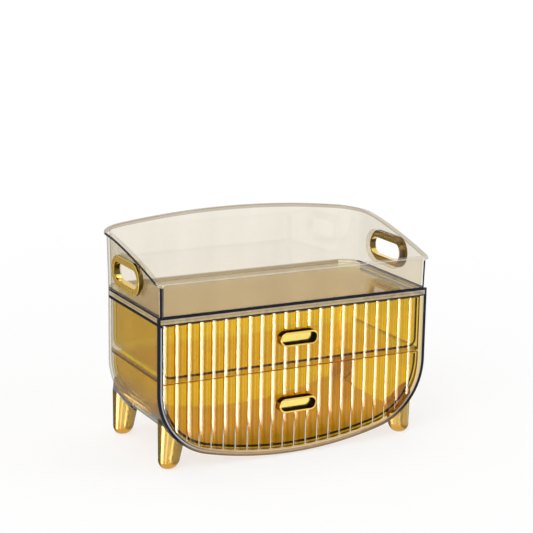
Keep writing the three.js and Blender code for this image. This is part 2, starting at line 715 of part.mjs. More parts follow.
// Pad: fills the space between the leg's level seat and the body, round rear corner included.
function makePad(corner) {
  const peg = placed(legPeg(PAD_FLANGE, PAD_TAPER_HEIGHT), corner.legFrame);
  const level = aboveOutline(skinInset - PAD_THICKNESS - SEAT_GAP, BODY_DEPTH);
  const lip = aboveOutline(-SEAT_GAP, -halfDepth + LIP_DEPTH + SEAT_GAP);
  const body = bodyForm(skinInset - SEAT_GAP, -BODY_DEPTH, SEAM_HEIGHT);
  return peg.intersect(level).subtract(lip).subtract(body).subtract(corner.screwHole);
}

function makeLegScrew(corner) {
  const screw = panScrew(
    LEG_SCREW_RADIUS, LEG_SCREW_LENGTH, LEG_SCREW_HEAD_RADIUS, LEG_SCREW_HEAD_HEIGHT,
  );
  return placed(screw, corner.screwFrame);
}

// Assembly
const organizer = new THREE.Group();
organizer.add(meshOf('housing_shell', makeHousing(), clearPlastic));
organizer.add(meshOf('mid_shelf', makeShelf(), clearPlastic));
organizer.add(meshOf('top_tray', makeTray(), clearPlastic));

for (const [side, sign] of [['left', -1], ['right', 1]]) {
  organizer.add(meshOf(`grip_ring_${side}`, makeGripRing(sign), goldPlate));
  organizer.add(meshOf(`grip_retainer_${side}`, makeGripRetainer(sign), goldPlate));
}

for (const corner of legCorners()) {
  organizer.add(meshOf(`leg_${corner.label}`, makeLeg(corner), goldPlate));
  organizer.add(meshOf(`leg_pad_${corner.label}`, makePad(corner), padPlastic));
  organizer.add(meshOf(`leg_screw_${corner.label}`, makeLegScrew(corner), steel));
}

const drawers = [
  ['upper', makeUpperDrawer(), upperPullHeight],
  ['lower', makeLowerDrawer(), lowerPullHeight],
];
for (const [level, drawer, pullHeight] of drawers) {
  organizer.add(meshOf(`${level}_drawer`, drawer, amberPlastic));
  organizer.add(meshOf(`${level}_pull`, makePull(pullHeight), goldPlate));
  organizer.add(meshOf(`${level}_pull_screw_left`, makePullScrew(pullHeight, -1), steel));
  organizer.add(meshOf(`${level}_pull_screw_right`, makePullScrew(pullHeight, 1), steel));
}

// The origin sits under the middle of the whole outline, from the pulls to the tray's rear rim.
const rearRim = halfDepth + BEAD_OUT
  + draftSlope * (rimRearHeight + RIM_ARCH - SEAM_HEIGHT - SEAT_GAP);
organizer.position.y = -(pullFace + rearRim) / 2;

export default organizer;
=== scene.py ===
import math
from contextlib import contextmanager

import bmesh
import bpy
from bpy.props import FloatProperty, FloatVectorProperty, IntProperty, PointerProperty
from bpy.types import Operator, Panel, PropertyGroup
from mathutils import Matrix, Vector


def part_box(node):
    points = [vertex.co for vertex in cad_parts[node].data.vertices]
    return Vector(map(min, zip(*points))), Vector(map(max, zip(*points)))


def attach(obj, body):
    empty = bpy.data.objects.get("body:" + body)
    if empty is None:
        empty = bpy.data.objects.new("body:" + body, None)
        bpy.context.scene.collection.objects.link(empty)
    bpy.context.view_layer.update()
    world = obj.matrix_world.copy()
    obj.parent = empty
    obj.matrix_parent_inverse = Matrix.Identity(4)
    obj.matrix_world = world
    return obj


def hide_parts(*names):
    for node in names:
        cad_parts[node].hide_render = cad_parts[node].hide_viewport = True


bl_info = {
    "name": "Vanity Drawer Organizer",
    "version": (1, 0, 0),
    "blender": (4, 5, 0),
    "location": "3D View > Sidebar > Organizer",
    "description": "Builds a clear two-drawer vanity organizer around its packed solids",
    "category": "Object",
}

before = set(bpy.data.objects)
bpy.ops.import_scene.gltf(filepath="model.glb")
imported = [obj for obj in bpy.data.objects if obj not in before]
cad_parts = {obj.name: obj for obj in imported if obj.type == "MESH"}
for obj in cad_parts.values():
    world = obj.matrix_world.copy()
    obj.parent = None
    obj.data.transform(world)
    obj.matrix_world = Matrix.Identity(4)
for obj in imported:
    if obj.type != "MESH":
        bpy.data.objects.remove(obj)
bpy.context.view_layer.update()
HOUSING_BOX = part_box("housing_shell")
DEPTH_SHIFT = (HOUSING_BOX[0].y + HOUSING_BOX[1].y) / 2

# Lengths are in metres. Only length() and the lens take millimetres.
Y, Z = Vector((0, 1, 0)), Vector((0, 0, 1))
QUARTER = math.pi / 2
SIDES = (("left", -1), ("right", 1))
WHITE = (1, 1, 1)
MERGE = 2e-6  # points nearer than this are one
TOUCH = 2e-4  # a face nearer than this to a plane lies on it
OVERSHOOT = 0.01  # how far a cutting tool reaches past what it cuts
PHOTO_SIDE = 533  # width and height of the photograph in pixels


# Settings

def length(label, text, millimetres):
    return FloatProperty(name=label, description=text, default=millimetres / 1000,
                         unit="LENGTH", subtype="DISTANCE", precision=5)


def rotation(label, text, degrees):
    return FloatProperty(name=label, description=text, default=math.radians(degrees),
                         unit="ROTATION", subtype="ANGLE")


def place(label, text, x, y, z):
    return FloatVectorProperty(name=label, description=text, default=(x, y, z),
                               unit="LENGTH", subtype="TRANSLATION")


def colour(label, text, red, green, blue):
    return FloatVectorProperty(name=label, description=text, default=(red, green, blue),
                               subtype="COLOR", size=3, min=0, max=1)


def count(label, text, number):
    return IntProperty(name=label, description=text, default=number, min=1)


def factor(label, text, number):
    return FloatProperty(name=label, description=text, default=number, min=0)


class BodySizes(PropertyGroup):
    width: length("Width", "Width over the front lip", 270)
    depth: length("Depth", "Depth from the lip to the rear wall", 132.6)
    seam: length("Seam height", "Height where the tray sits on the housing", 140.6)
    belly_clearance: length("Belly clearance", "Gap between the belly and the table", 1.6)
    belly_radius: length("Belly radius", "Radius of the shallow belly arc", 356)
    corner_radius: length("Corner radius", "Radius of the lower corners", 62)
    lip_proud: length("Lip proud", "How far the lip stands out of the skin", 2)
    lip_depth: length("Lip depth", "Depth of the lip", 3.2)
    rear_radius: length("Rear radius", "Rounding of the rear edge", 20)
    edge_break: length("Edge break", "Small chamfer on the lip", 0.6)
    wall: length("Wall", "Thickness of the shell", 2.4)
    band: length("Band height", "Height of the band over the drawers", 7.1)
    deck: length("Deck thickness", "Thickness of the deck under the tray", 3)
    rim_wall: length("Seat rim", "Width of the rim round the tray's seat", 2.6)
    # The lip's dark outline and the pale line inside it are painted shade and painted highlight.
    dark_edge: length("Dark edge", "Width of the dark outline on the lip", 2.2)
    light_edge: length("Light edge", "Width of the pale line inside it", 1.2)
    seam_line: length("Seam line", "Height of the dark line at each seam", 1.7)
    deck_line: length("Deck line", "Height of the dark side line at the deck", 2.8)
    # Painted shadow: the dark line at the foot of the band, over the upper front.
    band_line: length("Band line", "Height of the dark line under the band", 1.2)
    ledge_width: length("Ledge width", "Width of the shelf's side ledges", 4)
    ledge_height: length("Ledge height", "Height of the shelf's side ledges", 2.2)
    ledge_break: length("Ledge break", "Rounding of the ledges' edges", 0.3)
    shelf_top: length("Shelf top", "Height of the shelf's upper face", 83.3)
    shelf_thickness: length("Shelf thickness", "Thickness of the shelf", 3)


class DrawerSizes(PropertyGroup):
    recess: length("Recess", "Depth of the fronts behind the lip", 3.6)
    thickness: length("Front thickness", "Thickness of the fluted plate", 2.5)
    slide_gap: length("Slide gap", "Gap round the moving fronts", 0.6)
    front_gap: length("Front gap", "Gap between the two fronts", 1.2)
    flutes: count("Flutes", "Number of flutes across a front", 22)
    flute_rise: length("Flute rise", "How far each flute stands out", 1.3)
    plate_gap: length("Plate gap", "Gap between a front and the tub behind it", 0.05)
    tub_inset: length("Tub inset", "Gap from the lip's outline to the tub", 6.4)
    tub_wall: length("Tub wall", "Thickness of the tub", 2.2)
    headroom: length("Headroom", "Space over the upper tub", 3)
    tub_radius: length("Tub corner", "Corner radius of the upper tub", 8)
    seat_gap: length("Seat gap", "Gap between pieces that rest on each other", 0.3)


class PullSizes(PropertyGroup):
    length: length("Length", "Length of the capsule cup", 38)
    height: length("Height", "Height of the capsule cup", 13.2)
    proud: length("Proud", "How far the cup stands off the front", 8)
    wall: length("Wall", "Thickness of the cup's wall", 1.7)
    floor: length("Floor", "Thickness of the cup's floor", 1.8)
    edge_round: length("Edge rounding", "Rounding of the cup's rim", 0.6)
    edge_break: length("Edge break", "Depth of the break inside the cup's rim", 0.4)
    upper_height: length("Upper height", "Height of the upper pull's centre", 108.9)
    lower_height: length("Lower height", "Height of the lower pull's centre", 47.7)
    stem_spacing: length("Stem spacing", "Distance between the two stems", 22)
    stem_radius: length("Stem radius", "Radius of a stem", 2.4)
    stem_root: length("Stem root", "How far a stem reaches into the cup's floor", 0.9)


class TraySizes(PropertyGroup):
    wall: length("Wall", "Thickness of the tray's wall", 2.6)
    floor: length("Floor", "Thickness of the tray's floor", 2.6)
    floor_break: length("Floor break", "Slope between the floor and the walls", 2)
    front_step: length("Front step", "Step of the tray behind the lip", 0.6)
    front_radius: length("Front corner", "Radius of the front corners", 3)
    least_radius: length("Least corner", "Smallest radius inside the front corners", 0.2)
    draft: rotation("Draft", "Outward lean of the walls", 1.5)
    draft_corner: length("Draft corner", "Part of a front corner that leans both ways", 4)
    rim_front: length("Front rim", "Height of the front rim", 170.2)
    rim_rear: length("Rear rim", "Height of the rim where the arch begins", 193.2)
    arch: length("Arch", "Rise of the rear arch", 10.4)
    rise_power: factor("Rise", "Shape of the rising side rim", 1.4)
    bead_out: length("Bead width", "How far the bead stands out", 2.4)
    bead_height: length("Bead height", "Height of the bead", 2.6)
    bead_round: length("Bead rounding", "Rounding of the bead", 0.5)
    # The bead's pale line is a painted highlight.
    bead_line: length("Bead line", "Distance of the pale line's inner end from the bead's side", 1.8)
    bead_shade: length("Bead shade", "Height of the wall's strip under the bead", 1)


class GripSizes(PropertyGroup):
    length: length("Length", "Length of the ring", 62)
    height: length("Height", "Height of the ring", 29.6)
    band: length("Band", "Width of the ring's face at its ends", 5)
    long_band: length("Long band", "Width of the ring's face above and below the hole", 6.6)
    proud: length("Proud", "Thickness of the ring outside the wall", 2.9)
    edge_round: length("Edge rounding", "Rounding of the ring's outer edge", 0.5)
    edge_break: length("Edge break", "Width of the break round the hole", 0.6)
    sleeve_wall: length("Sleeve wall", "Wall of the sleeve through the hole", 1.5)
    sleeve_reach: length("Sleeve reach", "How far the sleeve passes the wall", 0.3)
    setback: length("Setback", "Distance of the ring behind the middle", 2.5)
    centre: length("Centre height", "Height of the ring's centre", 163.6)


class LegSizes(PropertyGroup):
    end_setback: length("End setback", "Leg centre from the front or rear", 14.8)
    side_setback: length("Side setback", "Leg's outer side from the body's side", 7.2)
    root_radius: length("Root radius", "Radius at the taper's top", 11.4)
    tip_radius: length("Tip radius", "Radius at the table", 8.6)
    taper: length("Taper", "Height of the taper", 24)
    height: length("Height", "Height of the uncut leg", 56)
    tip_round: length("Tip rounding", "Height of the rounded tip", 9.5)
    tip_blunt: length("Tip flat", "Radius of the flat under the tip", 2.2)
    pad: length("Pad", "Thickness of the clear pad", 1.8)
    pad_core: length("Pad core", "Radius round the screw that stays clear in the pad", 8)
    pad_rear: length("Pad rear", "How far behind its centre a rear pad's rim stays clear", 4)


class Finishes(PropertyGroup):
    clear: colour("Clear tint", "Tint of one clear surface", 0.94, 0.914, 0.853)
    tray: colour("Tray tint", "Tint of one tray surface", 0.93, 0.903, 0.845)
    deck: colour("Deck tint", "Tint of the deck and the tray's floor", 0.89, 0.82, 0.56)
    band: colour("Band", "Colour of the band over the drawers", 0.6, 0.54, 0.43)
    shelf: colour("Shelf tint", "Tint of one surface of the shelf", 0.97, 0.95, 0.92)
    # Painted shade at the shelf's sides, where light runs a long way through it.
    side_shade: colour("Smoke", "Tint of the shelf's sides", 0.5, 0.4, 0.3)
    pad: colour("Pad tint", "Tint of one surface of the pads", 0.9, 0.89, 0.86)
    # Painted shade on the pads' rims.
    pad_rim: colour("Pad rim", "Colour of the pads' rims", 0.06, 0.055, 0.05)
    pad_top: colour("Pad top", "Colour of the pads' upper faces", 0.82, 0.78, 0.68)
    amber: colour("Amber tint", "Tint of one surface of the fronts", 0.97, 0.868, 0.28)
    strip: colour("Strip tint", "Tint of the shell's inner strip before the fronts", 0.93, 0.76, 0.3)
    lower_tub: colour("Lower tub tint", "Tint of one surface of the lower tub", 0.991, 0.872, 0.28)
    lower_floor: colour("Lower floor tint", "Tint of the lower tub's floor", 0.94, 0.78, 0.3)
    milk: colour("Milk", "Colour of what the lower tub's floor scatters", 1, 0.84, 0.3)
    upper_tub: colour("Upper tub tint", "Tint of one surface of the upper tub", 0.996, 0.886, 0.31)
    upper_floor: colour("Upper floor tint", "Tint of the upper tub's floor", 0.99, 0.93, 0.62)
    # Painted shade: the dark colour in the cut edges of the amber fronts and of the tubs.
    amber_edge: colour("Amber edge", "Colour in the cut edges of the amber", 0.36, 0.17, 0.025)
    tub_edge: colour("Tub edge", "Colour in the cut edges of the tubs", 0.03, 0.006, 0.002)
    # Painted shade and painted highlight on the lip: its dark outline, its browner tones and pale lines at
    # the belly, and the pale lines inside the outline, bluish on the left and warm on the right.
    edge: colour("Dark edge", "Colour of the dark plastic edge", 0.008, 0.012, 0.026)
    belly_edge: colour("Belly edge", "Colour of the edge under the belly", 0.16, 0.08, 0.035)
    belly_face: colour("Belly face", "Colour of the lip's face under the belly", 0.48, 0.31, 0.15)
    belly_line: colour("Belly line", "Colour of the pale line under the belly", 0.55, 0.37, 0.19)
    belly_corner: colour("Belly corner", "Colour of the lip's inner edge at the belly", 0.95, 0.9, 0.8)
    pale_line: colour("Pale line", "Colour of the left pale line", 0.6, 0.68, 0.8)
    warm_line: colour("Warm line", "Colour of the right pale line", 0.7, 0.56, 0.42)
    # Painted shade and painted highlight on the tray's rim: a dark left side, a pale line on the bead, and
    # a darker tint on the right and rear rims.
    rim: colour("Rim", "Colour of the left rim's side", 0.02, 0.022, 0.03)
    rim_line: colour("Rim line", "Colour of the pale line on the bead", 0.7, 0.68, 0.66)
    shaded_rim: colour("Dull rim", "Tint of the right and rear rims", 0.6, 0.54, 0.45)
    gold: colour("Gold", "Colour of the bright plating", 0.86, 0.6, 0.15)
    ring: colour("Ring", "Colour of the rings' faces", 0.86, 0.55, 0.085)
    plate: colour("Plate", "Colour of the pulls' plates", 0.98, 0.74, 0.2)
    # Painted shade on the pulls: a darker gold on their outer walls and near black inside their walls.
    pull_wall: colour("Pull wall", "Colour of the pulls' outer walls", 0.62, 0.3, 0.05)
    recess: colour("Recess", "Colour inside the pulls' walls", 0.018, 0.011, 0.004)
    satin: colour("Satin gold", "Colour of the satin plating", 0.64, 0.42, 0.12)
    tip: colour("Tip", "Colour of the satin plating at the tips", 0.64, 0.32, 0.05)
    steel: colour("Steel", "Colour of the screws", 0.62, 0.62, 0.61)
    floor: colour("Floor", "Colour of the floor", 0.94, 0.94, 0.94)


class StageSettings(PropertyGroup):
    camera_place: place("Camera", "Place of the camera", -0.6737, -1.28512, 0.5024)
    camera_target: place("Target", "Point that the camera looks at", 0.00292, 0.00018, 0.15836)
    camera_roll: rotation("Roll", "Turn of the camera about its view", 0.965)
    lens: factor("Lens", "Focal length in millimetres on a 36 mm sensor", 110)
    lamp_target: place("Lamp target", "Point that the lamps look at", 0, 0, 0.1)
    floor_size: length("Floor", "Width of the floor", 40000)
    floor_glow: factor("Floor glow", "Brightness of the floor before the camera", 1.05)
    world_light: factor("World light", "Strength of the world's light on the object", 0.4)


def body():
    return bpy.context.scene.organizer_body


def drawers():
    return bpy.context.scene.organizer_drawers


def pulls():
    return bpy.context.scene.organizer_pulls


def tray_sizes():
    return bpy.context.scene.organizer_tray


def grips():
    return bpy.context.scene.organizer_grips


def finishes():
    return bpy.context.scene.organizer_finishes


# Lines that several pieces share

def corner_x():
    return body().width / 2 - body().corner_radius


def belly_z():
    return body().belly_clearance + body().belly_radius


def corner_z():
    return belly_z() - math.sqrt((body().belly_radius - body().corner_radius) ** 2 - corner_x() ** 2)


def meeting_angle():
    return math.atan2(belly_z() - corner_z(), corner_x())


def front_y():
    return DEPTH_SHIFT - body().depth / 2


def rear_y():
    return DEPTH_SHIFT + body().depth / 2


def face_y():
    return front_y() + drawers().recess


def back_y():
    return face_y() + drawers().thickness


def bay_top():
    return body().seam - body().band


def shelf_bottom():
    return body().shelf_top - body().shelf_thickness


def front_inset():
    return body().lip_proud + body().wall + drawers().slide_gap


def flute_pitch():
    return (body().width - 2 * front_inset()) / drawers().flutes


# Modelling helpers

def clamp(value, low, high):
    return min(max(value, low), high)


def new_edges(bm, known):
    return [edge for edge in bm.edges if edge not in known]


def points_in(parts):
    return [part for part in parts if isinstance(part, bmesh.types.BMVert)]


def points_of(edges):
    return {vert for edge in edges for vert in edge.verts}


def step_from(bm, vert, offset):
    """Extrudes one vertex by an offset and returns the new one."""
    made = bmesh.ops.extrude_vert_indiv(bm, verts=[vert])["verts"][0]
    bmesh.ops.translate(bm, verts=[made], vec=offset)
    return made


def turn_from(bm, vert, centre, axis, angle, steps):
    """Spins one vertex into an arc and returns its last vertex."""
    made = bmesh.ops.spin(bm, geom=[vert], cent=centre, axis=axis, dvec=(0, 0, 0), angle=angle,
                          steps=steps, space=Matrix.Identity(4), use_merge=False,
                          use_normal_flip=False, use_duplicate=False)
    return points_in(made["geom_last"])[0]


def close_chain(bm, first, last):
    return bmesh.ops.contextual_create(bm, geom=[first, last])["edges"]


def u_chain(bm, inset, y, top, closed=True):
    """The U of the body in the front view, moved inwards by inset."""
    known = set(bm.edges)
    side = body().width / 2 - inset
    turn = meeting_angle()
    first = bm.verts.new((-side, y, top))
    vert = step_from(bm, first, (0, 0, corner_z() - top))
    vert = turn_from(bm, vert, (-corner_x(), y, corner_z()), -Y, turn, steps=18)
    vert = turn_from(bm, vert, (0, y, belly_z()), -Y, math.pi - 2 * turn, steps=26)
    vert = turn_from(bm, vert, (corner_x(), y, corner_z()), -Y, turn, steps=18)
    last = step_from(bm, vert, (0, 0, top - corner_z()))
    if closed:
        close_chain(bm, last, first)
    return new_edges(bm, known)


def rear_stations(inset, start, steps=8):
    """Depths and insets that carry an outline back and round its rear edge."""
    radius = body().rear_radius - inset + body().lip_proud
    stations = [(start, inset)]
    for i in range(steps + 1):
        angle = QUARTER * i / steps
        stations.append((rear_y() - body().rear_radius + radius * math.sin(angle),
                         inset + radius * (1 - math.cos(angle))))
    return stations


def skin(bm, loops, slot=0, axis=Z, apart=0.05):
    """Bridges each loop to the next. The next one is held apart along the axis while it is paired,
    so that loops which lie in one plane are paired straight across."""
    faces = []
    for near, far in zip(loops, loops[1:]):
        verts = list(points_of(far))
        bmesh.ops.translate(bm, verts=verts, vec=apart * axis)
        faces += bmesh.ops.bridge_loops(bm, edges=near + far)["faces"]
        bmesh.ops.translate(bm, verts=verts, vec=-apart * axis)
    for face in faces:
        face.material_index = slot
    return faces


def cap(bm, loop, slot=0):
    for face in bmesh.ops.contextual_create(bm, geom=loop)["faces"]:
        face.material_index = slot


def tidy(bm):
    bmesh.ops.remove_doubles(bm, verts=bm.verts, dist=MERGE)
    bmesh.ops.recalc_face_normals(bm, faces=bm.faces)


def raise_faces(bm, height):
    """Makes a flat outline's face a solid of this height."""
    made = bmesh.ops.extrude_face_region(bm, geom=list(bm.faces))["geom"]
    bmesh.ops.translate(bm, verts=points_in(made), vec=(0, 0, height))
    tidy(bm)


@contextmanager
def edited(mesh):
    """Opens a mesh for bmesh's tools and writes the result back."""
    bm = bmesh.new()
    bm.from_mesh(mesh)
    yield bm
    bm.to_mesh(mesh)
    bm.free()


def smooth_below(mesh, degrees):
    """Shades smooth across every edge that bends less than the angle."""
    with edited(mesh) as bm:
        for face in bm.faces:
            face.smooth = True
        for edge in bm.edges:
            edge.smooth = len(edge.link_faces) == 2 and edge.calc_face_angle(0) < math.radians(degrees)


def object_from(name, bm, slots=()):
    """An object with a finished mesh, and the finish of each of its slots."""
    mesh = bpy.data.meshes.new(name)
    bm.to_mesh(mesh)
    bm.free()
    for slot in slots:
        mesh.materials.append(finish(slot))
    piece = bpy.data.objects.new(name, mesh)
    bpy.context.scene.collection.objects.link(piece)
    return piece


def discard(piece):
    mesh = piece.data
    bpy.data.objects.remove(piece)
    bpy.data.meshes.remove(mesh)


def apply_modifiers(piece):
    bpy.context.view_layer.update()
    depsgraph = bpy.context.evaluated_depsgraph_get()
    made = bpy.data.meshes.new_from_object(piece.evaluated_get(depsgraph))
    old = piece.data
    piece.modifiers.clear()
    piece.data = made
    bpy.data.meshes.remove(old)


def weigh(piece):
    """Lets the large faces hold their flat shading beside small rounded ones."""
    modifier = piece.modifiers.new("Weighted normals", "WEIGHTED_NORMAL")
    modifier.keep_sharp = True
    modifier.weight = 50
    apply_modifiers(piece)


def combine(piece, tool, operation):
    """Cuts or joins a piece with a tool, which is used up."""
    modifier = piece.modifiers.new("Boolean", "BOOLEAN")
    modifier.operation = operation
    modifier.solver = "EXACT"
    modifier.object = tool
    apply_modifiers(piece)
    discard(tool)


def join_meshes(target, other):
    """Adds another piece's mesh and materials to a target's."""
    base = len(target.data.materials)
    for material in other.data.materials:
        target.data.materials.append(material)
    with edited(target.data) as bm:
        known = set(bm.faces)
        bm.from_mesh(other.data)
        for face in bm.faces:
            if face not in known:
                face.material_index += base
    discard(other)


def seat(piece, carrier, slot, *nodes):
    """Puts a finished piece on its body and hides the nodes that it stands for. The slot is not used."""
    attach(piece, carrier)
    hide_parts(*nodes)


def paint_node(node, name):
    """Gives a CAD node its finish, in each of its slots."""
    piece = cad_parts[node]
    if not piece.material_slots:
        raise RuntimeError(f"{node} has no material slot")
    for slot in piece.material_slots:
        slot.material = finish(name)


# Tools that cut and join

def loft(name, bm, near, far, axis=Z):
    """A solid between two like loops."""
    skin(bm, [near, far], axis=axis)
    cap(bm, near)
    cap(bm, far)
    tidy(bm)
    return object_from(name, bm)


def outline_prism(inset, near, far, top):
    """A solid with the body's U outline, from one depth to another."""
    bm = bmesh.new()
    return loft("outline_tool", bm, *(u_chain(bm, inset, y, top) for y in (near, far)), axis=Y)


def capsule_loop(bm, long, high, level, steps=20):
    """A capsule outline in XY at a level."""
    known = set(bm.edges)
    radius = high / 2
    reach = long / 2 - radius
    first = bm.verts.new((reach, -radius, level))
    vert = turn_from(bm, first, (reach, 0, level), Z, math.pi, steps)
    vert = step_from(bm, vert, (-2 * reach, 0, 0))
    vert = turn_from(bm, vert, (-reach, 0, level), Z, math.pi, steps)
    close_chain(bm, vert, first)
    return new_edges(bm, known)


def capsule_prism(long, high, low, top):
    bm = bmesh.new()
    return loft("capsule_tool", bm, *(capsule_loop(bm, long, high, level) for level in (low, top)))


def capsule_edge(long, high, top, radius, steps=4):
    """Rows of a capsule's outer edge, which is rounded as it rises to its top."""
    rows = []
    for i in range(steps + 1):
        angle = QUARTER * i / steps
        shrink = 2 * radius * (1 - math.cos(angle))
        rows.append((long - shrink, high - shrink, top - radius + radius * math.sin(angle)))
    return rows


def in_capsule(point, long, high):
    """Whether a point's X and Y lie within a capsule round the origin."""
    return math.hypot(max(abs(point.x) - (long - high) / 2, 0), point.y) < high / 2


def round_post(radius, low, top, across):
    """A round post along Z, beside the middle."""
    bm = bmesh.new()
    bmesh.ops.create_cone(bm, cap_ends=True, segments=24, radius1=radius, radius2=radius,
                          depth=top - low)
    bmesh.ops.translate(bm, verts=bm.verts, vec=(across, 0, (low + top) / 2))
    return object_from("post_tool", bm)


def on_grip(sign):
    """The place of a hand hole's ring on the tray's wall."""
    size, grip, draft = body(), grips(), tray_sizes().draft
    drafted = math.tan(draft) * (grip.centre - size.seam - drawers().seat_gap)
    stand = Matrix.Translation((sign * (size.width / 2 - size.lip_proud + drafted),
                                grip.setback + DEPTH_SHIFT, grip.centre))
    out = Matrix.Rotation(sign * (QUARTER + draft), 4, "Y")
    return stand @ out @ Matrix.Rotation(QUARTER, 4, "Z")


def on_front(height):
    """The place of a pull on a drawer front, its +Z towards the user."""
    return Matrix.Translation((0, face_y(), height)) @ Matrix.Rotation(QUARTER, 4, "X")


# Materials

# Heights over the table between which a finish changes: the lip's painted tones, a leg's tip, the fronts'
# painted shade, their gloss and their painted highlight lines
LIP_CHANGE = (0.006, 0.03)
TIP_CHANGE = (0, 0.012)
BELLY_CHANGE = (0.018, 0.034)
POLISH_CHANGE = (0.034, 0.042)
VALLEY_CHANGE = (0.026, 0.036)

# Widths of the strips of painted shade along a piece's edges: the upper front's top edge, and the shelf's
# front and sides
FRONT_EDGE = 0.002
SHELF_FRONT = 0.002
SHELF_SIDE = 0.003


def scaled(shade, share):
    return tuple(min(channel * share, 1) for channel in shade)


class Nodes:
    """Builds the node tree of a material or of the world."""

    def __init__(self, owner, output="OutputMaterial"):
        owner.use_nodes = True
        self.owner, self.tree = owner, owner.node_tree
        self.tree.nodes.clear()
        self.output = self.add(output)

    def add(self, kind, inputs=None, **values):
        node = self.tree.nodes.new("ShaderNode" + kind)
        for key, value in values.items():
            setattr(node, key, value)
        for key, value in (inputs or {}).items():
            self.put(value, node.inputs[key])
        return node

    def put(self, value, socket):
        """Links a socket to another node's, or sets its own value."""
        if isinstance(value, bpy.types.NodeSocket):
            self.tree.links.new(value, socket)
        elif socket.type == "RGBA":
            socket.default_value = (*value, 1)
        else:
            socket.default_value = value

    def close(self, surface):
        """Links the finished surface and returns the tree's owner."""
        self.put(surface, self.output.inputs["Surface"])
        return self.owner

    def shader(self, kind, inputs):
        return self.add(kind, inputs).outputs[0]

    def math(self, operation, *values):
        return self.add("Math", dict(enumerate(values)), operation=operation).outputs[0]

    def noise(self, scale, detail, stretch=(1, 1, 1)):
        here = self.add("TexCoord").outputs["Object"]
        mapped = self.add("Mapping", {"Vector": here, "Scale": stretch}).outputs["Vector"]
        inputs = {"Vector": mapped, "Scale": scale, "Detail": detail}
        return self.add("TexNoise", inputs).outputs["Fac"]

    def along(self, axis):
        """Object coordinate along X, Y or Z, in metres."""
        here = self.add("TexCoord").outputs["Object"]
        return self.add("SeparateXYZ", {0: here}).outputs[axis]

    def between(self, axis, start, stop):
        """How far a point is from start to stop along an axis, from 0 to 1."""
        return self.spread(self.along(axis), 0, 1, start, stop)

    def ramp(self, value, stops):
        ramp = self.add("ValToRGB", {"Fac": value})
        elements = ramp.color_ramp.elements
        elements.remove(elements[1])
        elements[0].position, elements[0].color = stops[0][0], (*stops[0][1], 1)
        for at, shade in stops[1:]:
            elements.new(at).color = (*shade, 1)
        return ramp.outputs["Color"]

    def uneven(self, value, shade, low, high):
        """A colour that a noise makes a little darker or lighter."""
        return self.ramp(value, [(0.3, scaled(shade, low)), (0.7, scaled(shade, high))])

    def spread(self, value, low, high, start=0, stop=1):
        """Carries a value's range from start to stop over to one from low to high."""
        inputs = {"Value": value, "From Min": start, "From Max": stop, "To Min": low, "To Max": high}
        return self.add("MapRange", inputs).outputs["Result"]

    def around(self, value, middle, low, high):
        """Carries a noise over to a range round a middle value, no higher than 1."""
        return self.spread(value, middle * low, min(middle * high, 1))

    def tinted(self, shade, other):
        """One colour seen through the other."""
        inputs = {0: 1, 6: shade, 7: other}
        return self.add("Mix", inputs, data_type="RGBA", blend_type="MULTIPLY").outputs[2]

    def mix(self, share, first, second):
        return self.shader("MixShader", {0: share, 1: first, 2: second})

    def grazing(self, index):
        """Share of light that a surface throws back: low face on, whole at a grazing angle."""
        straight = ((index - 1) / (index + 1)) ** 2
        facing = self.add("LayerWeight", {"Blend": 0.5}).outputs["Facing"]
        return self.spread(self.math("POWER", facing, 5), straight, 1)

    def bump(self, value, strength, distance):
        inputs = {"Height": value, "Strength": strength, "Distance": distance}
        return self.add("Bump", inputs).outputs["Normal"]

    def seen_by(self, *rays):
        """1 for the named rays and 0 for all others."""
        path = self.add("LightPath")
        seen = path.outputs[rays[0]]
        for ray in rays[1:]:
            seen = self.math("MAXIMUM", seen, path.outputs[ray])
        return seen


def new_material(name):
    return Nodes(bpy.data.materials.new(name))


def see_through(name, tint, index=1.5, ripple=0.04, shade=None, polish=None, glints=None, cloud=0,
                cloud_shade=WHITE, gloss=WHITE):
    """Thin clear plastic: a tinted film under a gloss that grows towards grazing angles.
    shade changes the film's colour over the surface, polish its gloss, marks lay a pale line of painted
    highlight on it, cloud is the share that scatters the light, and gloss tints what the surface mirrors."""
    tree = new_material(name)
    flow = tree.noise(30, 2, (1, 1, 0.35))
    even = tree.uneven(flow, tint, 0.985, 1.015)
    film = tree.shader("BsdfTransparent", {"Color": shade(tree, even) if shade else even})
    face = tree.shader("BsdfPrincipled", {
        "Base Color": gloss,
        "Metallic": 1,
        "Roughness": tree.around(flow, 0.02, 0.7, 1.3),
        "Normal": tree.bump(flow, ripple, 0.0004),
    })
    share = tree.grazing(index)
    if polish:
        share = tree.math("MULTIPLY", share, polish(tree))
    surface = tree.mix(share, film, face)
    # Painted highlight lines in a pale diffuse colour.
    if glints:
        surface = tree.mix(glints(tree), surface, tree.shader("BsdfDiffuse", {"Color": (1, 0.95, 0.84)}))
    if cloud:
        near, through = (tree.shader(kind, {"Color": cloud_shade})
                         for kind in ("BsdfDiffuse", "BsdfTranslucent"))
        milk = tree.mix(tree.spread(flow, 0.4, 0.6), near, through)
        surface = tree.mix(tree.around(flow, cloud, 0.85, 1.15), surface, milk)
    return tree.close(surface)


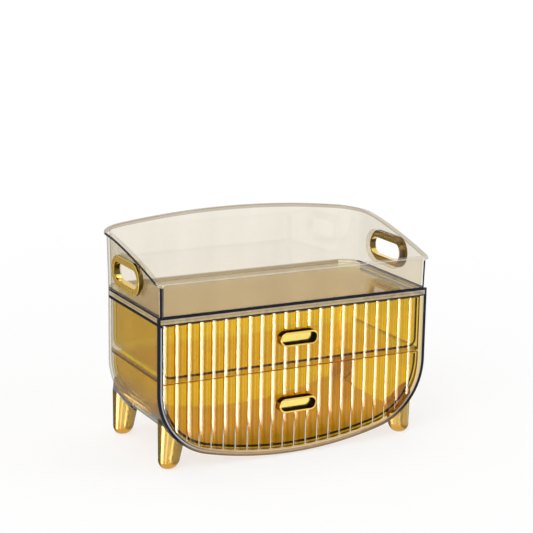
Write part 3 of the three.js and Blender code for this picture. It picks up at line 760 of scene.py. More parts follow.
def plain_gloss(name, shade, roughness, cover=1, film_shade=(0.75, 0.74, 0.72), shine=0.5, streaks=None):
    """Solid glossy plastic with a faint unevenness. Where its cover is below 1, a film shows
    through, and streaks tint it over the surface."""
    tree = new_material(name)
    grains = tree.noise(220, 3)
    tones = tree.uneven(grains, shade, 0.85, 1.15)
    surface = tree.shader("BsdfPrincipled", {
        "Base Color": tree.tinted(tones, streaks(tree)) if streaks else tones,
        "Roughness": tree.around(grains, roughness, 0.8, 1.25),
        "Specular IOR Level": shine,
    })
    if cover < 1:
        film = tree.shader("BsdfTransparent", {"Color": film_shade})
        surface = tree.mix(tree.around(grains, cover, 0.9, 1.1), film, surface)
    return tree.close(surface)


def lip_line(name, shade, low_shade, cover, low_cover, film_shade=WHITE):
    """Glossy edge for the lip's painted dark outline and painted pale lines, whose colour and cover change
    from the sides to the belly.
    """
    tree = new_material(name)
    grains = tree.noise(220, 3)
    height = tree.between("Z", *LIP_CHANGE)
    tones = tree.ramp(height, [(0, low_shade), (1, shade)])
    face = tree.shader("BsdfPrincipled", {
        "Base Color": tree.tinted(tones, tree.uneven(grains, WHITE, 0.86, 1)),
        "Roughness": tree.spread(grains, 0.1, 0.18),
        "Specular IOR Level": 0.15,
    })
    film = tree.shader("BsdfTransparent", {"Color": film_shade})
    return tree.close(tree.mix(tree.spread(height, low_cover, cover), film, face))


def plated(name, shade, roughness, ripple=0.02, tip=None, metal=1):
    """Gold or steel plating with fine unevenness in shade, gloss and surface, deeper at a leg's tip."""
    tree = new_material(name)
    grains = tree.noise(400, 4)
    tones = tree.uneven(tree.noise(18, 2), shade, 0.95, 1.04)
    if tip:
        # Deeper and more orange towards a leg's tip.
        tip_tone = tuple(low / high for low, high in zip(tip, shade))
        upwards = [(0, tip_tone), (0.35, tip_tone), (1, WHITE)]
        tones = tree.tinted(tones, tree.ramp(tree.between("Z", *TIP_CHANGE), upwards))
    return tree.close(tree.shader("BsdfPrincipled", {
        "Base Color": tones,
        "Metallic": metal,
        "Roughness": tree.around(grains, roughness, 0.85, 1.2),
        "Normal": tree.bump(grains, ripple, 0.0002),
    }))


def across_flute(tree):
    """How far a point is across its flute, from 0 to 1. The whole flutes added keep it above zero."""
    added = 200 + drawers().flutes / 2
    return tree.math("FRACT", tree.math("MULTIPLY_ADD", tree.along("X"), 1 / flute_pitch(), added))


def fluted(tree, even):
    """Deeper amber at each flute's thick crest, painted shade in the crease between the flutes, a painted
    shadow along the upper front's top edge, and painted shade that deepens the amber towards the belly."""
    # The crease colour is painted shade; the crest colour is the amber's own depth.
    crease, crest = (0.6, 0.36, 0.06), (0.82, 0.75, 0.58)
    across = [(0, crease), (0.03, crease), (0.07, WHITE), (0.3, (0.95, 0.92, 0.86)), (0.37, crest),
              (0.46, crest), (0.55, (0.95, 0.93, 0.88)), (0.7, (0.94, 0.92, 0.87)), (0.78, WHITE),
              (0.91, WHITE), (0.95, crease)]
    shade = tree.tinted(even, tree.ramp(across_flute(tree), across))
    top = bay_top() - drawers().slide_gap
    # Painted shadow along the upper front's top edge.
    upper = [(0, WHITE), (0.35, WHITE), (0.5, (0.12, 0.09, 0.06)), (1, (0.1, 0.08, 0.06))]
    shade = tree.tinted(shade, tree.ramp(tree.between("Z", top - FRONT_EDGE, top), upper))
    # Painted shade: the amber darker towards the belly.
    belly = [(0, (0.64, 0.66, 0.58)), (1, WHITE)]
    return tree.tinted(shade, tree.ramp(tree.between("Z", *BELLY_CHANGE), belly))


def fading_polish(tree):
    """The flutes' polish fades in points towards the belly."""
    skewed = tree.math("MULTIPLY_ADD", across_flute(tree), 0.03, tree.along("Z"))
    return tree.spread(skewed, 0.08, 1, *POLISH_CHANGE)


def valley_glints(tree):
    """Painted highlight: thin pale lines that run down the creases near the belly."""
    from_crest = tree.math("ABSOLUTE", tree.math("SUBTRACT", across_flute(tree), 0.5))
    crease = tree.ramp(from_crest, [(0, (0, 0, 0)), (0.455, (0, 0, 0)), (0.48, WHITE)])
    return tree.math("MULTIPLY", crease, tree.spread(tree.along("Z"), 0.9, 0, *VALLEY_CHANGE))


def shelf_edges(tree, even):
    """Painted shade: a darker front edge and darker sides, where the light has a long way through the
    shelf.
    """
    low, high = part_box("mid_shelf")
    # Painted shade: a darker tone along the front edge and a darker tint at the sides.
    dull, side_shade = (0.8, 0.72, 0.55), finishes().side_shade
    inwards = tree.between("Y", low.y, low.y + SHELF_FRONT)
    front = tree.ramp(inwards, [(0, dull), (0.2, dull), (0.3, WHITE)])
    out = tree.spread(tree.math("ABSOLUTE", tree.along("X")), 0, 1, high.x - SHELF_SIDE, high.x)
    return tree.tinted(tree.tinted(even, front), tree.ramp(out, [(0, WHITE), (0.3, side_shade), (1, side_shade)]))


def band_tones(tree):
    """Level bands of tone over the band above the drawers, from its lower line to the seam: warm low, grey
    across the middle and cool at the top.
    """
    height = tree.between("Z", bay_top() + body().band_line, body().seam - body().seam_line)
    return tree.ramp(height, [(0, (1, 0.9, 0.72)), (0.3, (1, 0.96, 0.9)), (0.5, (0.62, 0.62, 0.66)),
                              (0.62, (0.66, 0.66, 0.7)), (0.76, WHITE), (1, (0.9, 0.93, 1))])


def finish_table():
    """Every finish by its name, with the function that makes it and its values."""
    tones = finishes()
    return {
        "clear_wall": (see_through, dict(tint=tones.clear)),
        "deck_plastic": (see_through, dict(tint=tones.deck, index=1.4)),
        "band_plastic": (plain_gloss, dict(shade=tones.band, roughness=0.2, cover=0.6,
                                           film_shade=(0.8, 0.75, 0.65), streaks=band_tones)),
        "shelf_plastic": (see_through, dict(tint=tones.shelf, index=1.4, shade=shelf_edges)),
        "inner_band": (see_through, dict(tint=tones.strip, index=1.4)),
        # The lip's painted dark outline and painted pale lines, with their painted tones at the belly.
        "inner_corner": (lip_line, dict(shade=tones.edge, low_shade=tones.belly_corner, cover=1,
                                        low_cover=0.9)),
        "lip_corner": (lip_line, dict(shade=tones.edge, low_shade=tones.belly_edge, cover=1,
                                      low_cover=1)),
        "lip_face": (lip_line, dict(shade=tones.edge, low_shade=tones.belly_face, cover=1,
                                    low_cover=0.7, film_shade=(0.78, 0.66, 0.5))),
        "pale_edge": (lip_line, dict(shade=tones.pale_line, low_shade=tones.belly_line, cover=0.75,
                                     low_cover=0.8, film_shade=(0.85, 0.74, 0.55))),
        "warm_edge": (lip_line, dict(shade=tones.warm_line, low_shade=tones.belly_line, cover=0.7,
                                     low_cover=0.8, film_shade=(0.9, 0.8, 0.62))),
        "tray_wall": (see_through, dict(tint=tones.tray)),
        # Dark lines at the tray's seam and step, which also give the front corners their painted shade
        # line.
        "dark_edge": (plain_gloss, dict(shade=tones.edge, roughness=0.12, shine=0.15)),
        "soft_edge": (plain_gloss, dict(shade=tones.edge, roughness=0.15, cover=0.92, shine=0.15)),
        # Painted shade on the left rim's side, painted highlight lines on the bead and a darker painted
        # tint on the right and rear rims.
        "rim_side": (plain_gloss, dict(shade=tones.rim, roughness=0.2, cover=0.92, shine=0.15)),
        "rim_line": (plain_gloss, dict(shade=tones.rim_line, roughness=0.15, cover=0.8)),
        "rim_rear": (see_through, dict(tint=tones.shaded_rim)),
        "snap_ring": (see_through, dict(tint=scaled(tones.tray, 1.02))),
        "pad_plastic": (see_through, dict(tint=tones.pad, index=1.4)),
        # Painted shade on the pads' rims.
        "pad_side": (plain_gloss, dict(shade=tones.pad_rim, roughness=0.15, cover=0.75)),
        "pad_back": (plain_gloss, dict(shade=tones.pad_top, roughness=0.4, cover=0.9,
                                       film_shade=(0.9, 0.85, 0.7))),
        "amber_front": (see_through, dict(tint=tones.amber, index=1.4)),
        "amber_flutes": (see_through, dict(tint=tones.amber, index=1.62, ripple=0.015, shade=fluted,
                                           polish=fading_polish, glints=valley_glints,
                                           gloss=(1, 0.91, 0.74))),
        # Painted shade in the cut edges of the amber fronts.
        "amber_edge": (plain_gloss, dict(shade=tones.amber_edge, roughness=0.2, cover=0.85,
                                         film_shade=(0.7, 0.3, 0.03), shine=0.1)),
        "lower_tub": (see_through, dict(tint=tones.lower_tub)),
        "lower_floor": (see_through, dict(tint=tones.lower_floor, index=1.35, cloud=0.45,
                                          cloud_shade=tones.milk)),
        "upper_tub": (see_through, dict(tint=tones.upper_tub)),
        "upper_floor": (see_through, dict(tint=tones.upper_floor, index=1.35)),
        # Painted shade in the cut edges of the tubs.
        "tub_edge": (plain_gloss, dict(shade=tones.tub_edge, roughness=0.3, shine=0)),
        "bright_gold": (plated, dict(shade=tones.gold, roughness=0.1)),
        # Painted shade on the rings' walls.
        "dark_gold": (plated, dict(shade=scaled(tones.gold, 0.16), roughness=0.1)),
        "ring_gold": (plated, dict(shade=tones.ring, roughness=0.28, metal=0.5)),
        "plate_gold": (plated, dict(shade=tones.plate, roughness=0.17)),
        # Painted shade on the pulls: a darker gold on their outer walls and near black inside their walls.
        "wall_gold": (plated, dict(shade=tones.pull_wall, roughness=0.14)),
        "recess_gold": (plain_gloss, dict(shade=tones.recess, roughness=0.3, shine=0)),
        "satin_gold": (plated, dict(shade=tones.satin, roughness=0.22, ripple=0.006, tip=tones.tip)),
        "zinc_steel": (plated, dict(shade=tones.steel, roughness=0.3)),
    }


made_finishes = {}


def finish(name):
    """One material by its name, made once."""
    if name not in made_finishes:
        maker, values = finish_table()[name]
        made_finishes[name] = maker(name, **values)
    return made_finishes[name]


# Housing

HOUSING_SLOTS = ("clear_wall", "lip_face", "pale_edge", "deck_plastic", "lip_corner", "band_plastic",
                 "inner_corner", "inner_band", "warm_edge")


class ORGANIZER_OT_housing(Operator):
    """Builds the clear housing with its lip, deck and shelf ledges"""
    bl_idname = "organizer.housing"
    bl_label = "Housing"

    def execute(self, context):
        size = body()
        piece = object_from("housing", self.shell(), HOUSING_SLOTS)
        self.cut_seat(piece, size.lip_proud + size.rim_wall, bay_top() + size.deck)
        with edited(piece.data) as bm:
            self.split_lines(bm)
            self.sort_faces(bm)
        self.add_ledges(piece)
        smooth_below(piece.data, 28)
        weigh(piece)
        seat(piece, "housing", "clear_plastic", "housing_shell")
        return {"FINISHED"}

    def shell(self):
        """The skin from the bay's rear wall to the front, over the lip and back to the rear."""
        size = body()
        bay = size.lip_proud + size.wall
        lip_back = front_y() + size.lip_depth
        broken = size.edge_break
        slot = HOUSING_SLOTS.index
        bm = bmesh.new()
        stations = rear_stations(bay, front_y() + broken / 2)
        inner = [u_chain(bm, inset, y, bay_top()) for y, inset in stations]
        cap(bm, inner[-1])
        skin(bm, inner, axis=Y)
        last = inner[0]
        # Painted shade and painted highlight on the lip: a dark outline with a pale line inside it; on the
        # right the pale line lies further in.
        front_rows = [
            (bay - broken / 2, bay_top() + broken / 2, "inner_corner", "warm_edge"),
            (size.dark_edge + size.light_edge, bay_top() + size.band_line, "lip_face", "warm_edge"),
            (size.dark_edge, size.seam - size.seam_line, "pale_edge", "lip_face"),
            (broken, size.seam, "lip_face", "lip_face"),
        ]
        for inset, top, left_finish, right_finish in front_rows:
            chain = u_chain(bm, inset, front_y(), top)
            for face in skin(bm, [last, chain], slot(left_finish), Y):
                if face.calc_center_median().x > size.width / 4:
                    face.material_index = slot(right_finish)
            last = chain
        # The lip's own faces carry the painted dark outline.
        lip_rows = [
            (0, front_y() + broken, "lip_corner"),
            (0, lip_back - broken, "lip_face"),
            (broken, lip_back, "lip_corner"),
        ]
        for inset, y, lip_finish in lip_rows:
            chain = u_chain(bm, inset, y, size.seam)
            skin(bm, [last, chain], slot(lip_finish), Y)
            last = chain
        stations = rear_stations(size.lip_proud, lip_back)
        outer = [last] + [u_chain(bm, inset, y, size.seam) for y, inset in stations]
        skin(bm, outer, axis=Y)
        cap(bm, outer[-1])
        tidy(bm)
        bmesh.ops.dissolve_degenerate(bm, edges=bm.edges, dist=MERGE / 2)
        return bm

    def cut_seat(self, piece, inset, bottom):
        """Sinks the tray's seat into the deck."""
        bm = bmesh.new()
        cap(bm, plan_loop(bm, inset, 0, lambda point: bottom))
        raise_faces(bm, body().seam + OVERSHOOT - bottom)
        combine(piece, object_from("seat_tool", bm), "DIFFERENCE")

    def split_lines(self, bm):
        """Splits the faces where a line at the seam, the deck or the fronts begins."""
        size = body()
        levels = (size.seam - size.seam_line, bay_top() - size.deck_line / 2,
                  bay_top() + size.deck_line / 2)
        planes = [((0, 0, level), Z) for level in levels] + [((0, face_y(), 0), Y)]
        for point, normal in planes:
            bmesh.ops.bisect_plane(bm, geom=[*bm.verts, *bm.edges, *bm.faces], dist=1e-7,
                                   plane_co=point, plane_no=normal)

    def sort_faces(self, bm):
        """Finishes the band, the lines at its seams, the deck and the strip before the fronts."""
        size = body()
        half = size.width / 2
        bend = Vector((0, 0, corner_z()))
        rear_turn = rear_y() - size.rear_radius * 0.6
        slot = HOUSING_SLOTS.index
        for face in bm.faces:
            centre, normal = face.calc_center_median(), face.normal
            level = centre.z
            on_band = level > bay_top()
            off_lines = bay_top() + size.band_line < level < size.seam - size.seam_line
            on_skin = abs(centre.x) > half - size.lip_proud - TOUCH or centre.y > rear_y() - TOUCH
            upright_skin = on_skin and abs(normal.z) < 0.3
            near_deck = abs(level - bay_top()) < size.deck_line / 2
            below_deck = level < bay_top() - size.deck_line / 2
            if centre.y < front_y() + TOUCH and normal.y < -0.8:
                if off_lines and abs(centre.x) < half - size.dark_edge:
                    face.material_index = slot("band_plastic")
                # Front faces over the band that are not the band take the seam's dark line at the top, a
                # painted shadow line at the foot of the band and the lip's painted dark outline at the
                # sides.
                elif on_band:
                    face.material_index = slot("lip_face")
            elif upright_skin and centre.y < rear_turn and \
                    (near_deck or level > size.seam - size.seam_line):
                face.material_index = slot("lip_face")
            elif upright_skin and on_band and centre.y > front_y() + size.lip_depth:
                face.material_index = slot("band_plastic")
            elif abs(normal.z) > 0.7 and level > bay_top() - TOUCH and \
                    face.material_index == slot("clear_wall"):
                face.material_index = slot("deck_plastic")
            elif centre.y < face_y() and below_deck and abs(normal.y) < 0.3 and \
                    normal.dot(bend - centre) > 0:
                face.material_index = slot("inner_band")

    def add_ledges(self, piece):
        """Joins the side ledges that carry the shelf."""
        size = body()
        bay = size.width / 2 - size.lip_proud - size.wall
        top = shelf_bottom() - drawers().seat_gap
        start = back_y() + drawers().seat_gap
        stop = rear_y() - size.rear_radius
        for _, sign in SIDES:
            bm = bmesh.new()
            bmesh.ops.create_cube(bm, size=1)
            bmesh.ops.scale(bm, verts=bm.verts,
                            vec=(size.ledge_width + size.wall / 2, stop - start, size.ledge_height))
            across = sign * (bay - size.ledge_width / 2 + size.wall / 4)
            bmesh.ops.translate(bm, verts=bm.verts,
                                vec=(across, (start + stop) / 2, top - size.ledge_height / 2))
            bmesh.ops.bevel(bm, geom=list(bm.edges), offset=size.ledge_break, offset_type="OFFSET",
                            affect="EDGES", segments=2, profile=0.5, material=-1)
            combine(piece, object_from("ledge_tool", bm), "UNION")


# Tray

# Slots of the tray. The rim's slots carry painted shade on the left side, a darker painted tint on the
# right and rear, and painted highlight lines on the bead.
TRAY_SLOTS = {"wall": "tray_wall", "seam": "dark_edge", "step": "soft_edge", "bead": "tray_wall",
              "floor": "deck_plastic", "left_rim": "rim_side", "shaded_rim": "rim_rear",
              "bead_line": "rim_line", "rim_top": "tray_wall"}


def plan_loop(bm, inset, offset, height):
    """The tray's plan outline: rounded front corners, straight sides and wide rear corners.
    offset moves it outwards, and height gives each point's level."""
    tray = tray_sizes()
    known = set(bm.edges)
    within = inset - body().lip_proud
    side = body().width / 2 - inset + offset
    front = front_y() + tray.front_step + within - offset
    rear = rear_y() - within + offset
    near = max(tray.front_radius - within + offset, tray.least_radius)
    far = body().rear_radius - within + offset
    straight = rear - far - front - near
    first = bm.verts.new((side - near, front, 0))
    vert = turn_from(bm, first, (side - near, front + near, 0), Z, QUARTER, steps=6)
    vert = step_from(bm, vert, (0, straight, 0))
    vert = turn_from(bm, vert, (side - far, rear - far, 0), Z, QUARTER, steps=12)
    vert = step_from(bm, vert, (-2 * (side - far), 0, 0))
    vert = turn_from(bm, vert, (-side + far, rear - far, 0), Z, QUARTER, steps=12)
    vert = step_from(bm, vert, (0, -straight, 0))
    vert = turn_from(bm, vert, (-side + near, front + near, 0), Z, QUARTER, steps=6)
    close_chain(bm, vert, first)
    long = [edge for edge in new_edges(bm, known) if edge.calc_length() > body().rear_radius]
    bmesh.ops.subdivide_edges(bm, edges=long, cuts=19, use_grid_fill=False)
    loop = new_edges(bm, known)
    for vert in points_of(loop):
        vert.co.z = height(vert.co)
    return loop


def rim_height(point):
    """Height of the tray's rim over a plan point."""
    tray = tray_sizes()
    run = body().depth - tray.front_step - body().rear_radius
    along = clamp((point.y - front_y() - tray.front_step) / run, 0, 1)
    rise = 1 - (1 - along) ** tray.rise_power
    across = point.x / (body().width / 2 - body().lip_proud)
    arch = tray.arch * (1 - across ** 2) * along
    return tray.rim_front + (tray.rim_rear - tray.rim_front) * rise + arch


class ORGANIZER_OT_tray(Operator):
    """Builds the open tray with its drafted walls, beaded rim and hand holes"""
    bl_idname = "organizer.tray"
    bl_label = "Tray"

    def execute(self, context):
        tray, grip, gap = tray_sizes(), grips(), drawers().seat_gap
        piece = object_from("tray", self.walls(tray, gap), TRAY_SLOTS.values())
        clear = 2 * gap + 2 * grip.sleeve_wall - 2 * grip.band
        for _, sign in SIDES:
            tool = capsule_prism(grip.length + clear, grip.height + clear, -tray.wall - OVERSHOOT,
                                 OVERSHOOT)
            tool.data.transform(on_grip(sign))
            combine(piece, tool, "DIFFERENCE")
        smooth_below(piece.data, 28)
        weigh(piece)
        seat(piece, "housing", "clear_plastic", "top_tray")
        return {"FINISHED"}

    def walls(self, tray, gap):
        """Rings from under the floor, up the outside, over the bead and down to the floor's top."""
        size = body()
        seam_top = size.seam + gap
        floor_top = bay_top() + size.deck + gap + tray.floor
        plug = -size.rim_wall - gap
        bm = bmesh.new()

        def upright(offset, level):
            return plan_loop(bm, size.lip_proud, offset, lambda point: level)

        def leaning(offset, level):
            loop = plan_loop(bm, size.lip_proud, offset, lambda point: level)
            return self.lean_out(loop, seam_top)

        def rim(offset, drop):
            loop = plan_loop(bm, size.lip_proud, offset, lambda point: rim_height(point) - drop)
            return self.lean_out(loop, seam_top)

        # The rows at the bead's edges take painted highlight lines.
        rows = [
            (upright(plug, floor_top - tray.floor), "wall"),
            (upright(plug, seam_top), "wall"),
            (upright(0, seam_top), "step"),
            (leaning(0, seam_top + size.seam_line / 3), "seam"),
            (rim(0, tray.bead_height + tray.bead_shade), "wall"),
            (rim(0, tray.bead_height), "bead"),
            (rim(tray.bead_out, tray.bead_height - tray.bead_round), "bead_line"),
            (rim(tray.bead_out, tray.bead_round), "bead"),
            (rim(tray.bead_out - tray.bead_round, 0), "bead_line"),
            (rim(tray.bead_out - tray.bead_line, 0), "bead"),
            (rim(-tray.wall + tray.bead_round, 0), "rim_top"),
            (rim(-tray.wall, tray.bead_round), "bead_line"),
            (leaning(-tray.wall, floor_top + tray.floor_break), "wall"),
            (upright(-tray.wall - tray.floor_break, floor_top), "wall"),
        ]
        slot = list(TRAY_SLOTS).index
        for (near, _), (far, name) in zip(rows, rows[1:]):
            skin(bm, [near, far], slot(name))
        cap(bm, rows[0][0], slot("floor"))
        cap(bm, rows[-1][0], slot("floor"))
        tidy(bm)
        self.sort_rim(bm)
        return bm

    def lean_out(self, loop, seam_top):
        """Leans a ring's points outwards by the draft at their height, at the corners both ways."""
        size, tray = body(), tray_sizes()
        half = size.width / 2 - size.lip_proud
        for vert in points_of(loop):
            corner = size.rear_radius if vert.co.y > 0 else tray.draft_corner
            inner_x = clamp(vert.co.x, corner - half, half - corner)
            inner_y = clamp(vert.co.y, front_y() + tray.draft_corner, rear_y() - size.rear_radius)
            away = Vector((vert.co.x - inner_x, vert.co.y - inner_y, 0))
            vert.co += away.normalized() * math.tan(tray.draft) * max(vert.co.z - seam_top, 0)
        return loop

    def sort_rim(self, bm):
        """Paints shade on the rim: darkens the left rim and the upright front corners, and gives the right
        and rear rims a darker tint.
        """
        size = body()
        names = list(TRAY_SLOTS)
        corner, rim_width = 0.006, 0.01
        front, half = front_y() + corner, size.width / 2
        bead_turn, seam_turn = (rear_y() - size.rear_radius * share for share in (0.8, 0.6))
        for face in bm.faces:
            centre, normal, name = face.calc_center_median(), face.normal, names[face.material_index]
            out = abs(centre.x)
            if name in ("bead", "bead_line", "rim_top") and centre.y > bead_turn:
                name = "shaded_rim"
            elif name in ("bead", "bead_line") and centre.y > front and out > half - rim_width:
                outer = out > half - size.lip_proud and normal.z < 0.8
                name = "rim_top" if not outer else "left_rim" if centre.x < 0 else "shaded_rim"
            elif name in ("seam", "step") and centre.y > seam_turn:
                name = "shaded_rim"
            # Painted shade: a dark line down the tray's upright front corners.
            elif name == "wall" and centre.y < front and centre.z > size.seam and \
                    out > half - corner and abs(normal.x) > 0.1 and normal.y < -0.55:
                name = "seam"
            face.material_index = names.index(name)


# Grip rings

RING_SLOTS = ("bright_gold", "ring_gold", "dark_gold")


class ORGANIZER_OT_grips(Operator):
    """Builds the two plated rings round the hand holes"""
    bl_idname = "organizer.grips"
    bl_label = "Grip rings"

    def execute(self, context):
        for side, sign in SIDES:
            piece = object_from(f"ring_{side}", self.ring(grips(), drawers().seat_gap), RING_SLOTS)
            piece.data.transform(on_grip(sign))
            smooth_below(piece.data, 35)
            weigh(piece)
            seat(piece, "housing", "gold_plate", f"grip_ring_{side}")
            paint_node(f"grip_retainer_{side}", "snap_ring")
        return {"FINISHED"}

    def ring(self, grip, gap):
        """A flat ring outside the wall, with a sleeve through it."""
        hole_long, hole_high = grip.length - 2 * grip.band, grip.height - 2 * grip.long_band
        thicker = 2 * grip.sleeve_wall - 2 * grip.band
        sleeve = (grip.length + thicker, grip.height + thicker)
        reach = -tray_sizes().wall - grip.sleeve_reach
        top, broken = grip.proud + gap, grip.edge_break
        rows = [(*sleeve, reach), (*sleeve, gap), (grip.length, grip.height, gap)]
        rows += capsule_edge(grip.length, grip.height, top, grip.edge_round)
        hole_rows = [(2 * broken, top), (broken / 2, top - broken / 2), (0, top - 1.5 * broken), (0, reach)]
        rows += [(hole_long + wider, hole_high + wider, level) for wider, level in hole_rows]
        bm = bmesh.new()
        loops = [capsule_loop(bm, *row) for row in rows]
        skin(bm, loops + [loops[0]])
        tidy(bm)
        for face in bm.faces:
            normal = face.normal
            inside = in_capsule(face.calc_center_median(), hole_long + TOUCH, hole_high + TOUCH)
            # Painted shade: the ring's upright walls take a near-black gold, all but the long walls inside
            # the hole.
            if normal.z > 0.4:
                name = "ring_gold"
            elif abs(normal.z) < 0.3 and not (inside and abs(normal.y) > 0.6):
                name = "dark_gold"
            else:
                name = "bright_gold"
            face.material_index = RING_SLOTS.index(name)
        return bm


# Pulls

PULL_SLOTS = ("bright_gold", "recess_gold", "plate_gold", "wall_gold")


class ORGANIZER_OT_pulls(Operator):
    """Builds the two capsule pulls with their stems"""
    bl_idname = "organizer.pulls"
    bl_label = "Pulls"

    def execute(self, context):
        pull, gap = pulls(), drawers().seat_gap
        for level, height in (("upper", pull.upper_height), ("lower", pull.lower_height)):
            piece = object_from(f"pull_{level}", self.cup(pull, gap), PULL_SLOTS)
            for _, sign in SIDES:
                stem = round_post(pull.stem_radius, -drawers().thickness, gap + pull.stem_root,
                                  sign * pull.stem_spacing / 2)
                combine(piece, stem, "UNION")
            piece.data.transform(on_front(height))
            smooth_below(piece.data, 35)
            weigh(piece)
            seat(piece, f"{level}_drawer", "gold_plate", f"{level}_pull")
        return {"FINISHED"}

    def cup(self, pull, gap):
        """A capsule cup, from its underside over the rim to the plate in its floor."""
        cup_long, cup_high = pull.length - 2 * pull.wall, pull.height - 2 * pull.wall
        broken = pull.edge_break
        slot = PULL_SLOTS.index
        rows = [(pull.length, pull.height, gap)]
        rows += capsule_edge(pull.length, pull.height, pull.proud, pull.edge_round)
        rows += [(cup_long + broken, cup_high + broken, pull.proud),
                 (cup_long, cup_high, pull.proud - broken),
                 (cup_long, cup_high, gap + pull.floor)]
        bm = bmesh.new()
        loops = [capsule_loop(bm, *row) for row in rows]
        cap(bm, loops[0])
        skin(bm, loops[:-1])
        # Painted shade: the cup's inner walls are near black.
        skin(bm, loops[-2:], slot("recess_gold"))
        cap(bm, loops[-1], slot("plate_gold"))
        tidy(bm)
        # Painted shade on the outer walls: near black on the upper one and a darker gold on the others.
        for face in bm.faces:
            if face.material_index == slot("bright_gold") and abs(face.normal.z) < 0.1:
                face.material_index = slot("recess_gold" if face.normal.y > 0.5 else "wall_gold")
        return bm


# Drawers

FRONT_SLOTS = ("amber_front", "amber_flutes", "amber_edge")


def fluted_plate(bottom, top):
    """A drawer's face: a flat back and a row of convex flutes."""
    draw, pitch = drawers(), flute_pitch()
    left = -pitch * draw.flutes / 2
    radius = (pitch * pitch / 4 + draw.flute_rise ** 2) / (2 * draw.flute_rise)
    half_angle = math.asin(pitch / 2 / radius)
    bm = bmesh.new()
    start = bm.verts.new((left, face_y(), bottom))
    centre = (left + pitch / 2, face_y() - draw.flute_rise + radius, bottom)
    turn_from(bm, start, centre, Z, 2 * half_angle, steps=12)
    flute = [*bm.verts, *bm.edges]
    for i in range(1, draw.flutes):
        made = bmesh.ops.duplicate(bm, geom=flute)["geom"]
        bmesh.ops.translate(bm, verts=points_in(made), vec=(pitch * i, 0, 0))
    bmesh.ops.remove_doubles(bm, verts=bm.verts, dist=MERGE)
    ends = sorted((vert for vert in bm.verts if len(vert.link_edges) == 1), key=lambda vert: vert.co.x)
    close_chain(bm, *[step_from(bm, end, (0, draw.thickness, 0)) for end in ends])
    cap(bm, list(bm.edges))
    raise_faces(bm, top - bottom)
    return object_from("fluted_front", bm, FRONT_SLOTS)


def seat_pull(front, height):
    """Levels the flutes where the pull sits, and drills the holes for its stems."""
    pull, gap = pulls(), drawers().seat_gap
    tools = [capsule_prism(pull.length + 2 * gap, pull.height + 2 * gap, 0, OVERSHOOT)]
    tools += [round_post(pull.stem_radius + gap, -OVERSHOOT, OVERSHOOT, sign * pull.stem_spacing / 2)
              for _, sign in SIDES]
    for tool in tools:
        tool.data.transform(on_front(height))
        combine(front, tool, "DIFFERENCE")


class ORGANIZER_OT_drawers(Operator):
    """Builds the two amber drawers with fluted fronts and their tubs"""
    bl_idname = "organizer.drawers"
    bl_label = "Drawers"

    def execute(self, context):
        self.lower()
        self.upper()
        return {"FINISHED"}

    def lower(self):
        draw = drawers()
        top = shelf_bottom() - draw.front_gap / 2
        front = fluted_plate(0, top)
        combine(front, outline_prism(front_inset(), front_y(), rear_y(), top + OVERSHOOT), "INTERSECT")
        seat_pull(front, pulls().lower_height)
        tub_top = shelf_bottom() - draw.seat_gap - body().ledge_height - draw.slide_gap
        tub = self.tub("lower", tub_top, lambda bm, inset, y: u_chain(bm, inset, y, tub_top, closed=False))
        self.finish_drawer("lower", front, tub)

    def upper(self):
        draw = drawers()
        front = fluted_plate(shelf_bottom() + draw.front_gap / 2, bay_top() - draw.slide_gap)
        seat_pull(front, pulls().upper_height)
        floor, tub_top = body().shelf_top + draw.seat_gap, bay_top() - draw.headroom
        tub = self.tub("upper", tub_top, lambda bm, inset, y: self.box_chain(bm, inset, y, floor, tub_top))
        self.finish_drawer("upper", front, tub)

    def box_chain(self, bm, inset, y, floor, top):
        """The upper tub's front view: straight sides and rounded lower corners."""
        known = set(bm.edges)
        radius = drawers().tub_radius
        side = body().width / 2 - inset
        vert = bm.verts.new((-side, y, top))
        vert = step_from(bm, vert, (0, 0, floor + radius - top))
        vert = turn_from(bm, vert, (-side + radius, y, floor + radius), -Y, QUARTER, steps=8)
        vert = step_from(bm, vert, (2 * (side - radius), 0, 0))
        vert = turn_from(bm, vert, (side - radius, y, floor + radius), -Y, QUARTER, steps=8)
        step_from(bm, vert, (0, 0, top - floor - radius))
        return new_edges(bm, known)

    def tub(self, level, top, chain_at):
        """A tub with an open top and front. chain_at draws its section at a depth."""
        draw = drawers()
        bm = bmesh.new()
        stations = rear_stations(draw.tub_inset, back_y() + draw.plate_gap)
        chains = [chain_at(bm, inset, y) for y, inset in stations]
        skin(bm, chains, axis=Y)
        ends = [vert for vert in points_of(chains[-1]) if abs(vert.co.z - top) < MERGE]
        cap(bm, chains[-1] + close_chain(bm, *sorted(ends, key=lambda vert: vert.co.x)))
        tidy(bm)
        slots = (f"{level}_tub", "tub_edge", f"{level}_floor")
        tub = object_from("tub", bm, slots)
        wall = tub.modifiers.new("Wall", "SOLIDIFY")
        wall.thickness = draw.tub_wall
        wall.offset = -1
        wall.use_even_offset = True
        apply_modifiers(tub)
        for face in tub.data.polygons:
            # The tub's cut front edge takes painted shade.
            if face.normal.y < -0.8 and face.center.y < back_y() + TOUCH:
                face.material_index = slots.index("tub_edge")
            elif abs(face.normal.z) > 0.8:
                face.material_index = slots.index(f"{level}_floor")
        return tub

    def finish_drawer(self, level, front, tub):
        """Finishes the front's flutes and cut edges, and joins the tub to it. The upper front's low
        edge stays as clear as its back."""
        slot = FRONT_SLOTS.index
        # The front's cut edges take painted shade.
        for face in front.data.polygons:
            low_edge = face.normal.z < -0.9 and abs(face.center.z - shelf_bottom()) < drawers().front_gap
            if low_edge or face.normal.y >= 0.5:
                face.material_index = slot("amber_front")
            else:
                face.material_index = slot("amber_flutes" if face.normal.y < -0.5 else "amber_edge")
        join_meshes(front, tub)
        front.name = front.data.name = f"drawer_{level}"
        smooth_below(front.data, 26)
        seat(front, f"{level}_drawer", "amber_plastic", f"{level}_drawer")


